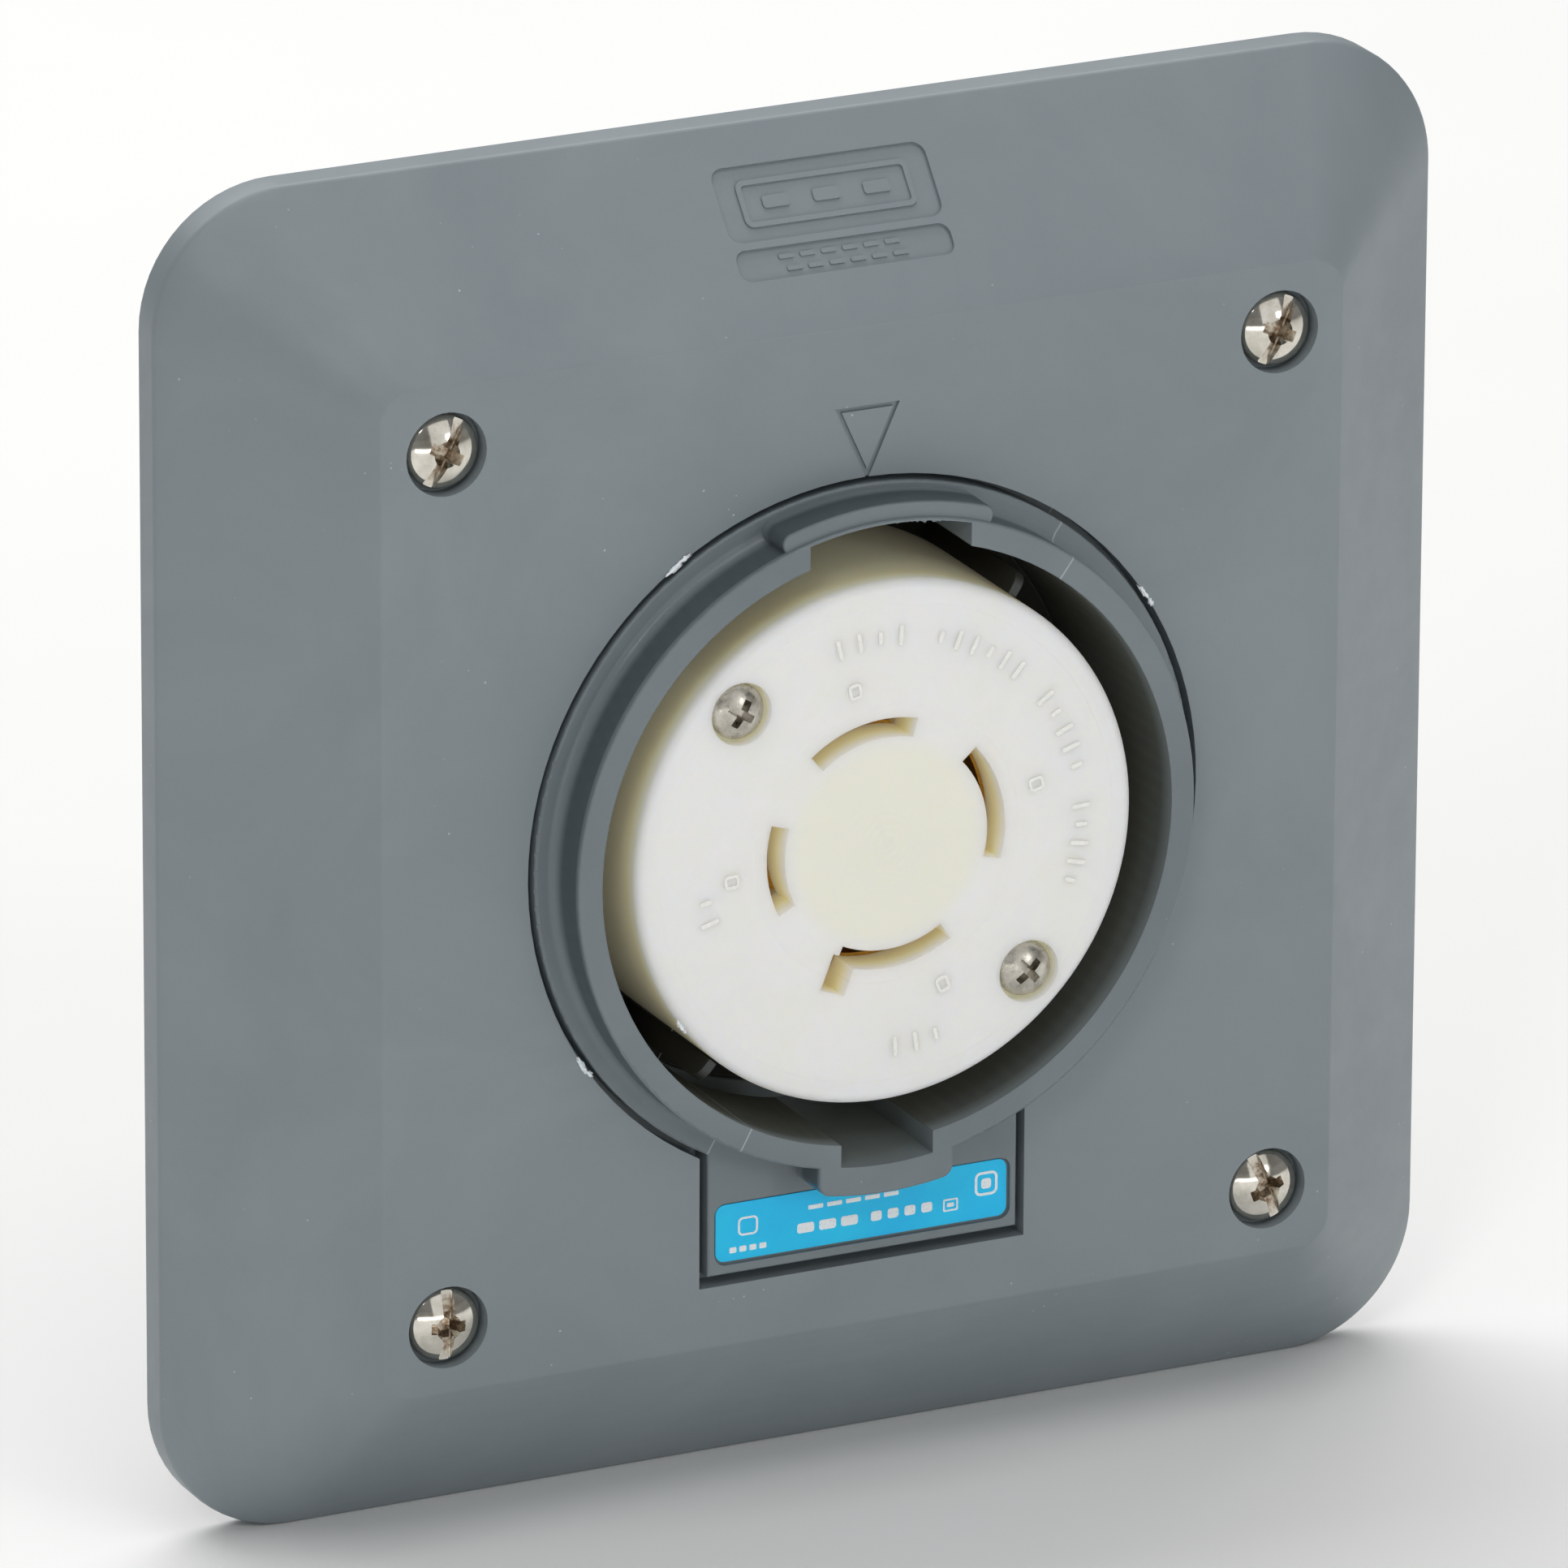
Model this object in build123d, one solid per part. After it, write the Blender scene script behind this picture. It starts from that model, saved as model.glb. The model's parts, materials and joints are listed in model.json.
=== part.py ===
from build123d import *
import math
import os

# Flush-mounted four-wire locking receptacle with a safety shroud, on a dished square cover plate.
# Everything is drawn as it lies on a bench: X to the right, Y up the wall, Z out of the wall, with
# Z = 0 on the wall face. stand_up() turns each piece so that the front faces -Y and up is +Z.
# Millimetres throughout; angles are degrees counter-clockwise from +X, seen from the front.

# ---- cover plate ----
PLATE = 127.0              # side of the square plate
PLATE_CORNER_R = 12.7
PLATE_EDGE_H = 3.0         # height of the upright edge wall
PANEL = 95.2               # side of the raised flat panel
PANEL_CORNER_R = 3.0
PANEL_Z = 16.7             # height of the panel's face above the wall
SKIN = 2.6                 # wall thickness of the plate
CREASE_R = 0.6             # rounding where the border meets the panel
EDGE_R = 0.8               # rounding where the edge wall meets the border
PANEL_HOLE_R = 33.4
WINDOW_HALF_W = 16.35      # window below the round hole, for the label tab
WINDOW_BOTTOM = -41.75

# ---- mounting screws, one in each corner of the panel ----
SCREW_SPACING = 82.55      # 3 1/4 in square
SCREW_R = 1.75             # No. 6-32 major radius, on the part behind the wall face
SCREW_NECK_R = 1.7         # plain shank from there up to the head
SCREW_HEAD_R = 3.45
SCREW_HEAD_SIDE = 1.1      # upright side of the head, under its dome
SCREW_DOME = 1.15
SCREW_SUNK = 1.9           # depth of the counterbore
COUNTERBORE_R = 3.9
SCREW_REACH = 6.0          # how far the screw stands out behind the wall face
BOSS_R = 5.5
BOSS_BOTTOM_Z = 8.4
RETAINER_R = 3.1
RETAINER_T = 0.8
RETAINER_Z = 0.6
RUN = 0.05                 # radial running clearance
# Angle of each head's long slot, as the screws were left when they were tightened.
SLOT_ANGLE = {"upper_left": 62.0, "upper_right": 66.0, "lower_left": 88.0, "lower_right": 112.0}

# ---- shroud housing ----
RING_R = 32.8              # flush ring that fills the panel's hole
RING_Z = 16.8
SHROUD_R = 30.75
SHROUD_BORE_R = 28.4
RIM_Z = 21.7
KEY_R = 30.5               # bottom of both keyways
TOP_KEY_HALF_W = 8.0
TOP_HOOD_R = 32.2
TOP_HOOD_HALF_ANGLE = 19.5
TOP_HOOD_Z = 21.2
LOW_KEY_HALF_W = 4.6
LOW_HOOD_R = 33.3
LOW_HOOD_HALF_W = 6.7
TAB_HALF_W = 15.55
TAB_BOTTOM = -40.7
FLANGE_R = 38.0            # hidden flange behind the panel
FLANGE_T = 3.1
FLOOR_Z = 2.0              # bottom of the annular socket
FLOOR_T = 3.0
SKIRT_R = 31.0
LIP_T = 13.7               # height of the bayonet lips above their channels
LIP_SWEEP = 21.5           # how far each lip runs clockwise from its keyway
UNDERCUT_R = 29.9
UNDERCUT_BOTTOM_Z = 3.0
GUIDE_IN_R = 24.95         # two thin webs that stand in the socket, out from the face
GUIDE_OUT_R = 27.1
GUIDE_Z = 19.8
GUIDE_ANGLES = ((57.5, 59.5), (227.5, 229.5))
ROOT_R = 0.9               # hollow rounding where the shroud meets the ring
EDGE_BREAK = 0.3           # small rounding of the moulding's visible edges

# ---- rating label ----
LABEL_W = 29.3
LABEL_H = 5.5
LABEL_Y = -36.8
LABEL_T = 0.15
LABEL_SUNK = 0.45
LABEL_CORNER_R = 0.9

# ---- nylon face ----
FACE_R = 24.75
FACE_Z = 21.1
FACE_EDGE_R = 1.0
SLOT_R = 11.0              # centre line of the curved blade slots
SLOT_W = 1.8
# Each slot: middle angle, sweep, angle of its terminal.
SLOTS = {"x": (102.0, 54.0, 90.0), "y": (13.0, 57.0, 0.0), "z": (185.0, 43.0, 180.0),
         "ground": (274.0, 58.0, 270.0)}
GROUND_LEG_ANGLE = 248.5   # where the ground slot turns outward
GROUND_LEG_R = 14.5
GROUND_LEG_W = 2.5
FACE_SCREW_R = 1.45
FACE_SCREW_HEAD_R = 2.6
FACE_SCREW_SUNK = 1.3
FACE_SCREW_ROOM = 0.35     # room around the head in its recess
FACE_SCREW_CIRCLE_R = 20.4
FACE_SCREW_ANGLES = (135.0, 315.0)

# ---- rear body and terminals ----
BODY_R = 28.0
BODY_TOP_Z = FLOOR_Z - FLOOR_T
BODY_BOTTOM_Z = -27.0
REAR_COVER_T = 3.0
CONTACT_T = 0.7            # thickness of a contact leaf
CONTACT_GAP = 1.6          # space between the leaves
CONTACT_TOP_Z = 16.5
ARM_W = 5.0
ARM_T = 1.2
ARM_Z = -9.0               # underside of the arm to the terminal
TERMINAL_Z = -16.0         # height of the terminal screws' axes
TERMINAL_PLATE_R = 22.5    # inner face of the upright terminal plate
TERMINAL_PLATE_W = 8.0
TERMINAL_SCREW_R = 2.08    # No. 8-32
TERMINAL_HEAD_R = 3.6
TERMINAL_HEAD_T = 2.4
TERMINAL_SCREW_TIP_R = 14.0
CLAMP_R = 17.0             # inner face of the clamp plate, backed right off
CLAMP_T = 1.8
CLAMP_W = 9.0
CHAMBER_HALF_W = 6.2
CHAMBER_IN_R = 9.4
WIRE_HOLE_R = 3.0
WIRE_OFFSET = 3.2          # the wire enters beside the screw's shank
REAR_SCREW_ANGLES = (45.0, 225.0)
REAR_SCREW_CIRCLE_R = 21.0
REAR_SCREW_R = 1.4

# ---- retaining strap ----
STRAP_T = 1.6
STRAP_TOP_Z = PANEL_Z - SKIN - FLANGE_T
STRAP_IN_R = 31.6
STRAP_OUT_R = 40.0
STRAP_SCREW_XY = 33.0
STRAP_EAR_R = 4.6
STRAP_SCREW_R = 1.6
STRAP_BOSS_R = 3.6
JUMPER_T = 0.8
JUMPER_W = 5.0

BORDER_RUN = (PLATE - PANEL) / 2
BORDER_RISE = PANEL_Z - PLATE_EDGE_H
BORDER_SLOPE = math.degrees(math.atan2(BORDER_RISE, BORDER_RUN))
PANEL_BACK_Z = PANEL_Z - SKIN


def tube(radius, bottom, top, x=0.0, y=0.0):
    """An upright cylinder between two heights."""
    return Pos(x, y, (bottom + top) / 2) * Cylinder(radius, top - bottom)


def block(x0, x1, y0, y1, z0, z1):
    """A box between two corners."""
    return Pos((x0 + x1) / 2, (y0 + y1) / 2, (z0 + z1) / 2) * Box(x1 - x0, y1 - y0, z1 - z0)


def slab(outline, bottom, top):
    """A flat outline given height."""
    return Pos(0, 0, bottom) * extrude(outline, top - bottom)


def sector(inner, outer, start, end, bottom, top):
    """Part of a ring between two angles."""
    middle = (start + end) / 2
    arc_out = ThreePointArc(at(outer, start), at(outer, middle), at(outer, end))
    arc_in = ThreePointArc(at(inner, end), at(inner, middle), at(inner, start))
    edges = Line(at(outer, end), at(inner, end)) + Line(at(inner, start), at(outer, start))
    return slab(make_face(edges + arc_out + arc_in), bottom, top)


def at(radius, angle):
    """The point at a radius and an angle in the plane of the wall."""
    return Vector(radius * math.cos(math.radians(angle)), radius * math.sin(math.radians(angle)))


def places(radius, angles):
    """The points at those angles on one circle."""
    return [(at(radius, angle).X, at(radius, angle).Y) for angle in angles]


def rounded(part, edges, radius):
    """The part with those edges rounded."""
    return fillet(edges, radius) if edges else part


def corners(spacing):
    """The four corner places of a square pattern, by name."""
    half = spacing / 2
    return {"upper_left": (-half, half), "upper_right": (half, half),
            "lower_left": (-half, -half), "lower_right": (half, -half)}


def square(side, corner, z):
    return Pos(0, 0, z) * RectangleRounded(side, side, corner)


# ---------------------------------------------------------------- cover plate

def plate_shell():
    """The dished square plate, hollow behind."""
    edge = slab(RectangleRounded(PLATE, PLATE, PLATE_CORNER_R), 0, PLATE_EDGE_H)
    border = loft([square(PLATE, PLATE_CORNER_R, PLATE_EDGE_H), square(PANEL, PANEL_CORNER_R, PANEL_Z)])
    solid = edge + border
    panel_edges = solid.faces().sort_by(Axis.Z)[-1].outer_wire().edges()
    solid = rounded(solid, panel_edges, CREASE_R)
    low_edges = solid.edges().filter_by(lambda e: abs(e.center().Z - PLATE_EDGE_H) < 0.01)
    solid = rounded(solid, low_edges.filter_by(lambda e: e.bounding_box().size.Z < 0.01), EDGE_R)
    return solid - plate_hollow()


def plate_hollow():
    """The space behind the plate, a wall's thickness inside it."""
    slope_offset = SKIN / math.sin(math.radians(BORDER_SLOPE))
    per_rise = BORDER_RUN / BORDER_RISE
    mouth = PLATE - 2 * SKIN
    knee_z = PLATE_EDGE_H - (slope_offset - SKIN) / per_rise
    top = PLATE - 2 * (slope_offset + (PANEL_BACK_Z - PLATE_EDGE_H) * per_rise)
    straight = slab(RectangleRounded(mouth, mouth, PLATE_CORNER_R - SKIN), -1, knee_z)
    tapered = loft([square(mouth, PLATE_CORNER_R - SKIN, knee_z), square(top, 1.6, PANEL_BACK_Z)])
    return straight + tapered


def panel_opening():
    """The round hole with the label window below it."""
    window = block(-WINDOW_HALF_W, WINDOW_HALF_W, WINDOW_BOTTOM, 0, BOSS_BOTTOM_Z, PANEL_Z + 1)
    return tube(PANEL_HOLE_R, BOSS_BOTTOM_Z, PANEL_Z + 1) + window


def arrow_groove():
    """Engraved outline of a triangle that points down at the hole's upper edge."""
    top = PANEL_HOLE_R + 6.7
    outer = Polyline((-3.2, top), (3.2, top), (0, PANEL_HOLE_R - 0.4), close=True)
    inner = Polyline((-2.55, top - 0.4), (2.55, top - 0.4), (0, PANEL_HOLE_R + 0.7), close=True)
    return slab(make_face(outer) - make_face(inner), PANEL_Z - 0.3, PANEL_Z + 1)


def border_place():
    """The middle of the upper border's face: x along the wall, y up towards the panel."""
    middle_y = (PLATE + PANEL) / 4
    middle_z = (PANEL_Z + PLATE_EDGE_H) / 2
    return Pos(0, middle_y, middle_z) * Rot(-BORDER_SLOPE, 0, 0)


def nameplate_recesses():
    """Two shallow round-cornered recesses on the upper border, one above the other."""
    tall = Pos(0, 2.6, 0) * RectangleRounded(21.2, 7.4, 1.3)
    low = Pos(0, -3.35, 0) * RectangleRounded(21.2, 3.1, 1.1)
    return border_place() * (extrude(tall, 1.0, both=True) + extrude(low, 1.0, both=True))


def nameplate_floor():
    """Material put back under the recesses, so that they are only 0.35 mm deep."""
    return border_place() * Pos(0, 0.5, -1.35) * Box(23.0, 14.0, 2.0)


def nameplate_marks():
    """Plain raised marks in the recesses: a square-cornered frame and two rows of dashes."""
    ring = RectangleRounded(17.0, 4.6, 0.8) - RectangleRounded(16.0, 3.6, 0.4)
    marks = Pos(0, 2.6, -0.4) * extrude(ring, 0.3)
    for row, y in enumerate((-2.75, -3.95)):
        for column in range(6):
            x = -5.6 + 2.1 * column + 0.5 * row
            marks += Pos(x, y, -0.4) * extrude(RectangleRounded(1.5, 0.45, 0.15), 0.22)
    for x in (-5.0, 0.0, 5.0):
        marks += Pos(x, 2.6, -0.4) * extrude(RectangleRounded(2.6, 1.2, 0.3), 0.28)
    return border_place() * marks


def cover_plate():
    plate = plate_shell()
    for x, y in corners(SCREW_SPACING).values():
        plate += tube(BOSS_R, BOSS_BOTTOM_Z, PANEL_BACK_Z + 0.5, x, y)
    for x, y in corners(2 * STRAP_SCREW_XY).values():
        plate += tube(STRAP_BOSS_R, STRAP_TOP_Z, PANEL_BACK_Z + 0.5, x, y)
        plate -= tube(STRAP_SCREW_R, STRAP_TOP_Z - 1, PANEL_Z - 1.2, x, y)
    for x, y in corners(SCREW_SPACING).values():
        plate -= tube(COUNTERBORE_R, PANEL_Z - SCREW_SUNK, PANEL_Z + 1, x, y)
        plate -= tube(SCREW_R + RUN, BOSS_BOTTOM_Z - 1, PANEL_Z, x, y)
    plate = plate - panel_opening() - arrow_groove() - nameplate_recesses()
    return plate + nameplate_floor() + nameplate_marks()


# ---------------------------------------------------------------- screws

def cross_recess(top_z, width, half, depth):
    """A cross-shaped drive recess."""
    cross = Box(2 * half, width, depth) + Box(width, 2 * half, depth)
    return Pos(0, 0, top_z - depth / 2) * cross


def combination_recess(top_z, width, half, depth, slot_depth):
    """A cross recess with a long slot right across the head."""
    slot = Box(4 * half, width, slot_depth)
    return cross_recess(top_z, width, half, depth) + Pos(0, 0, top_z - slot_depth / 2) * slot


def domed_head(radius, side, dome):
    """A pan head standing on Z = 0: a short upright side under a spherical cap."""
    ball_r = (radius ** 2 + dome ** 2) / (2 * dome)
    blank = tube(radius, 0, side + dome)
    return blank & Pos(0, 0, side + dome - ball_r) * Sphere(ball_r)


def mounting_screw(name):
    """Long No. 6 screw with a combination slot and cross drive."""
    x, y = corners(SCREW_SPACING)[name]
    seat = PANEL_Z - SCREW_SUNK
    head = domed_head(SCREW_HEAD_R, SCREW_HEAD_SIDE, SCREW_DOME)
    top = SCREW_HEAD_SIDE + SCREW_DOME
    head -= Rot(0, 0, SLOT_ANGLE[name]) * combination_recess(top, 1.15, 1.9, 1.9, 1.1)
    neck = tube(SCREW_NECK_R, 0, seat + 0.1, x, y)
    return Pos(x, y, seat) * head + neck + tube(SCREW_R, -SCREW_REACH, 0, x, y)


def screw_retainer(name):
    """Nylon washer that keeps the screw in the plate when it is backed out."""
    x, y = corners(SCREW_SPACING)[name]
    ring = tube(RETAINER_R, RETAINER_Z, RETAINER_Z + RETAINER_T, x, y)
    return ring - tube(SCREW_R + RUN, RETAINER_Z - 1, RETAINER_Z + RETAINER_T + 1, x, y)


def face_screws():
    """The two long cross-drive screws that clamp face, housing and rear body together."""
    screws = []
    seat = FACE_Z - FACE_SCREW_SUNK
    for x, y in places(FACE_SCREW_CIRCLE_R, FACE_SCREW_ANGLES):
        head = domed_head(FACE_SCREW_HEAD_R, 0.7, 0.75) - cross_recess(1.45, 0.8, 1.6, 1.1)
        shank = tube(FACE_SCREW_R, -13.0, seat + 0.1, x, y)
        screws.append(Pos(x, y, seat) * head + shank)
    return Compound(screws)


def strap_screws():
    """Four short screws that hold the strap against the plate's bosses."""
    screws = []
    for x, y in corners(2 * STRAP_SCREW_XY).values():
        head = Rot(180, 0, 0) * (domed_head(3.0, 0.9, 0.9) - cross_recess(1.8, 0.9, 1.7, 1.2))
        shank = tube(STRAP_SCREW_R - RUN, STRAP_TOP_Z - STRAP_T - 0.1, PANEL_Z - 1.6, x, y)
        screws.append(Pos(x, y, STRAP_TOP_Z - STRAP_T) * head + shank)
    return Compound(screws)


def rear_cover_screws():
    """Two short screws that hold the rear cover."""
    screws = []
    seat = BODY_BOTTOM_Z - REAR_COVER_T
    for x, y in places(REAR_SCREW_CIRCLE_R, REAR_SCREW_ANGLES):
        head = Rot(180, 0, 0) * (domed_head(2.6, 0.7, 0.8) - cross_recess(1.5, 0.8, 1.5, 1.0))
        shank = tube(REAR_SCREW_R, seat - 0.1, BODY_BOTTOM_Z + 7.0, x, y)
        screws.append(Pos(x, y, seat) * head + shank)
    return Compound(screws)


# ---------------------------------------------------------------- housing and label

def keyway_cuts():
    """The two keyways, open to the socket from the rim down to the floor."""
    upper = block(-TOP_KEY_HALF_W, TOP_KEY_HALF_W, 20, KEY_R + 1, FLOOR_Z, RIM_Z + 1)
    lower = block(-LOW_KEY_HALF_W, LOW_KEY_HALF_W, -KEY_R - 1, -20, FLOOR_Z, RIM_Z + 1)
    return (upper + lower) & tube(KEY_R, FLOOR_Z, RIM_Z + 1)


def undercuts():
    """Bayonet channels behind the lips, clockwise of each keyway."""
    cuts = []
    for half_w, middle in ((TOP_KEY_HALF_W, 90.0), (LOW_KEY_HALF_W, 270.0)):
        start = middle - math.degrees(math.asin(half_w / KEY_R)) + 1
        top = RIM_Z - LIP_T
        cuts.append(sector(SHROUD_BORE_R - 1, UNDERCUT_R, start - LIP_SWEEP, start, UNDERCUT_BOTTOM_Z, top))
    return cuts[0] + cuts[1]


def outer_top_edges(piece, z, beyond):
    """The edges at one height whose middles lie beyond a radius."""
    level = piece.edges().filter_by(lambda e: abs(e.bounding_box().min.Z - z) < 0.001)
    return level.filter_by(lambda e: math.hypot((e @ 0.5).X, (e @ 0.5).Y) > beyond)


def upper_hood():
    """Stepped-out arch over the upper keyway."""
    start = 90 - TOP_HOOD_HALF_ANGLE
    end = 90 + TOP_HOOD_HALF_ANGLE
    arch = sector(SHROUD_BORE_R, TOP_HOOD_R, start, end, PANEL_BACK_Z, TOP_HOOD_Z)
    upright = arch.edges().filter_by(Axis.Z).filter_by(lambda e: e.center().Y > 29.2)
    arch = rounded(arch, upright, 1.0)
    return rounded(arch, outer_top_edges(arch, TOP_HOOD_Z, SHROUD_BORE_R + 1), EDGE_BREAK)


def lower_hood():
    """Square-sided arch over the lower keyway, standing on the label tab."""
    arch = block(-LOW_HOOD_HALF_W, LOW_HOOD_HALF_W, -LOW_HOOD_R, -SHROUD_BORE_R + 2, PANEL_BACK_Z, RIM_Z)
    arch = arch & tube(LOW_HOOD_R, PANEL_BACK_Z, RIM_Z)
    upright = arch.edges().filter_by(Axis.Z).filter_by(lambda e: e.center().Y < -32)
    arch = rounded(arch, upright, 1.2)
    return rounded(arch, outer_top_edges(arch, RIM_Z, SHROUD_BORE_R + 1), EDGE_BREAK)


def label_tab():
    """Flat tab in the panel's window, joined to the ring."""
    return block(-TAB_HALF_W, TAB_HALF_W, TAB_BOTTOM, -20, STRAP_TOP_Z, RING_Z)


def hidden_flange():
    """Flange that the strap pulls against the back of the panel."""
    skirt = block(-20, 20, WINDOW_BOTTOM - 2.5, 0, STRAP_TOP_Z, PANEL_BACK_Z)
    return tube(FLANGE_R, STRAP_TOP_Z, PANEL_BACK_Z) + skirt


def housing_floor_openings():
    """Holes in the floor for the contacts' posts and the face screws."""
    cuts = [tube(FACE_SCREW_R + 0.15, -5, 5, x, y) for x, y in places(FACE_SCREW_CIRCLE_R, FACE_SCREW_ANGLES)]
    for _, _, terminal in SLOTS.values():
        cuts.append(Rot(0, 0, terminal) * block(9.8, 12.6, -3.2, 3.2, -5, 5))
    return Compound(cuts)


def ring_and_shroud():
    """The flush ring and tab with the plain shroud standing on them, their edges broken."""
    base = tube(RING_R, STRAP_TOP_Z, RING_Z) + label_tab()
    base = rounded(base, outer_top_edges(base, RING_Z, 0), EDGE_BREAK)
    base += tube(SHROUD_R, PANEL_BACK_Z, RIM_Z)
    base = rounded(base, outer_top_edges(base, RIM_Z, 0), EDGE_BREAK)
    root = base.edges().filter_by(GeomType.CIRCLE).filter_by(
        lambda e: abs(e.radius - SHROUD_R) < 0.001 and abs(e.bounding_box().max.Z - RING_Z) < 0.001)
    return rounded(base, root, ROOT_R)


def guide_ribs():
    """Thin webs in the socket, their outer top corners rounded."""
    ribs = []
    for start, end in GUIDE_ANGLES:
        rib = sector(GUIDE_IN_R, GUIDE_OUT_R, start, end, FLOOR_Z - 0.5, GUIDE_Z)
        ribs.append(rounded(rib, outer_top_edges(rib, GUIDE_Z, GUIDE_OUT_R - 0.5), 1.3))
    return ribs


def shroud_housing():
    """The grey moulding: flange, flush ring, label tab, shroud, keyways and floor."""
    body = ring_and_shroud() + hidden_flange() + tube(SKIRT_R, BODY_TOP_Z - 2.0, PANEL_BACK_Z)
    body += upper_hood() + lower_hood()
    body -= tube(SHROUD_BORE_R, FLOOR_Z, RIM_Z + 1)
    body -= tube(BODY_R + 0.1, BODY_TOP_Z - 3.0, BODY_TOP_Z)
    body = body - keyway_cuts() - undercuts()
    for rib in guide_ribs():
        body += rib
    recess = Pos(0, LABEL_Y, 0) * RectangleRounded(LABEL_W + 0.5, LABEL_H + 0.5, LABEL_CORNER_R + 0.25)
    body -= slab(recess, RING_Z - LABEL_SUNK, RING_Z + 1)
    return body - housing_floor_openings()


def rating_label():
    """Printed film label, laid in the tab's recess."""
    outline = Pos(0, LABEL_Y, 0) * RectangleRounded(LABEL_W, LABEL_H, LABEL_CORNER_R)
    bottom = RING_Z - LABEL_SUNK
    return slab(outline, bottom, bottom + LABEL_T)


# ---------------------------------------------------------------- nylon face

def blade_slot(middle, sweep, bottom, width=SLOT_W, extra=0.0):
    """A curved slot, centred on the blade circle."""
    inner = SLOT_R - width / 2
    outer = SLOT_R + width / 2
    return sector(inner, outer, middle - sweep / 2 - extra, middle + sweep / 2 + extra, bottom, FACE_Z + 1)


def ground_leg():
    """The outward leg of the L-shaped ground slot."""
    leg = block(SLOT_R, GROUND_LEG_R, -GROUND_LEG_W / 2, GROUND_LEG_W / 2, FLOOR_Z - 1, FACE_Z + 1)
    return Rot(0, 0, GROUND_LEG_ANGLE) * leg


def contact_pocket(middle, sweep):
    """The room below a slot that holds its contact."""
    room = CONTACT_TOP_Z + 0.6
    return sector(8.9, 13.1, middle - sweep / 2 - 5, middle + sweep / 2 + 5, FLOOR_Z - 1, room)


def receptacle_face():
    """White nylon insert with the blade slots, seated on the housing's floor."""
    face = tube(FACE_R, FLOOR_Z, FACE_Z)
    rim = face.faces().sort_by(Axis.Z)[-1].outer_wire().edges()
    face = rounded(face, rim, FACE_EDGE_R)
    for middle, sweep, _ in SLOTS.values():
        face = face - blade_slot(middle, sweep, FLOOR_Z - 1) - contact_pocket(middle, sweep)
    face -= ground_leg()
    for x, y in places(FACE_SCREW_CIRCLE_R, FACE_SCREW_ANGLES):
        face -= tube(FACE_SCREW_HEAD_R + FACE_SCREW_ROOM, FACE_Z - FACE_SCREW_SUNK, FACE_Z + 1, x, y)
        face -= tube(FACE_SCREW_R + 0.15, FLOOR_Z - 1, FACE_Z, x, y)
    return face


# ---------------------------------------------------------------- rear body and terminals

def terminal_chamber():
    """Room for one terminal, drawn on the +X side and open outward and down to the rear cover."""
    top = ARM_Z + ARM_T + 0.2
    room = block(CHAMBER_IN_R, BODY_R + 2, -CHAMBER_HALF_W, CHAMBER_HALF_W, BODY_BOTTOM_Z - 1, top)
    post = block(9.8, 12.6, -3.0, 3.0, ARM_Z, BODY_TOP_Z + 1)
    return room + post


def wire_hole(bottom, top):
    """Wire entry, between the terminal plate and the backed-off clamp."""
    middle = (TERMINAL_PLATE_R + CLAMP_R + CLAMP_T) / 2
    return tube(WIRE_HOLE_R, bottom, top, middle, WIRE_OFFSET)


def rear_body():
    """Dark insulating body behind the housing's floor."""
    body = tube(BODY_R, BODY_BOTTOM_Z, BODY_TOP_Z)
    for _, _, terminal in SLOTS.values():
        body -= Rot(0, 0, terminal) * terminal_chamber()
    for x, y in places(FACE_SCREW_CIRCLE_R, FACE_SCREW_ANGLES):
        body -= tube(FACE_SCREW_R, -14.0, BODY_TOP_Z + 1, x, y)
    for x, y in places(REAR_SCREW_CIRCLE_R, REAR_SCREW_ANGLES):
        body -= tube(REAR_SCREW_R, BODY_BOTTOM_Z - 1, BODY_BOTTOM_Z + 8.0, x, y)
    return body


def rear_cover():
    """Plate over the back of the body, with a countersunk entry for each wire."""
    bottom = BODY_BOTTOM_Z - REAR_COVER_T
    cover = tube(BODY_R - 0.6, bottom, BODY_BOTTOM_Z)
    rim = cover.faces().sort_by(Axis.Z)[0].outer_wire().edges()
    cover = rounded(cover, rim, 0.8)
    middle = (TERMINAL_PLATE_R + CLAMP_R + CLAMP_T) / 2
    for _, _, terminal in SLOTS.values():
        funnel = Pos(middle, WIRE_OFFSET, bottom + 0.6) * Cone(WIRE_HOLE_R + 1.0, WIRE_HOLE_R, 1.2)
        cover -= Rot(0, 0, terminal) * (wire_hole(bottom - 1, BODY_BOTTOM_Z + 1) + funnel)
    for x, y in places(REAR_SCREW_CIRCLE_R, REAR_SCREW_ANGLES):
        cover -= tube(REAR_SCREW_R + 0.1, bottom - 1, BODY_BOTTOM_Z + 1, x, y)
    return cover


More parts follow.
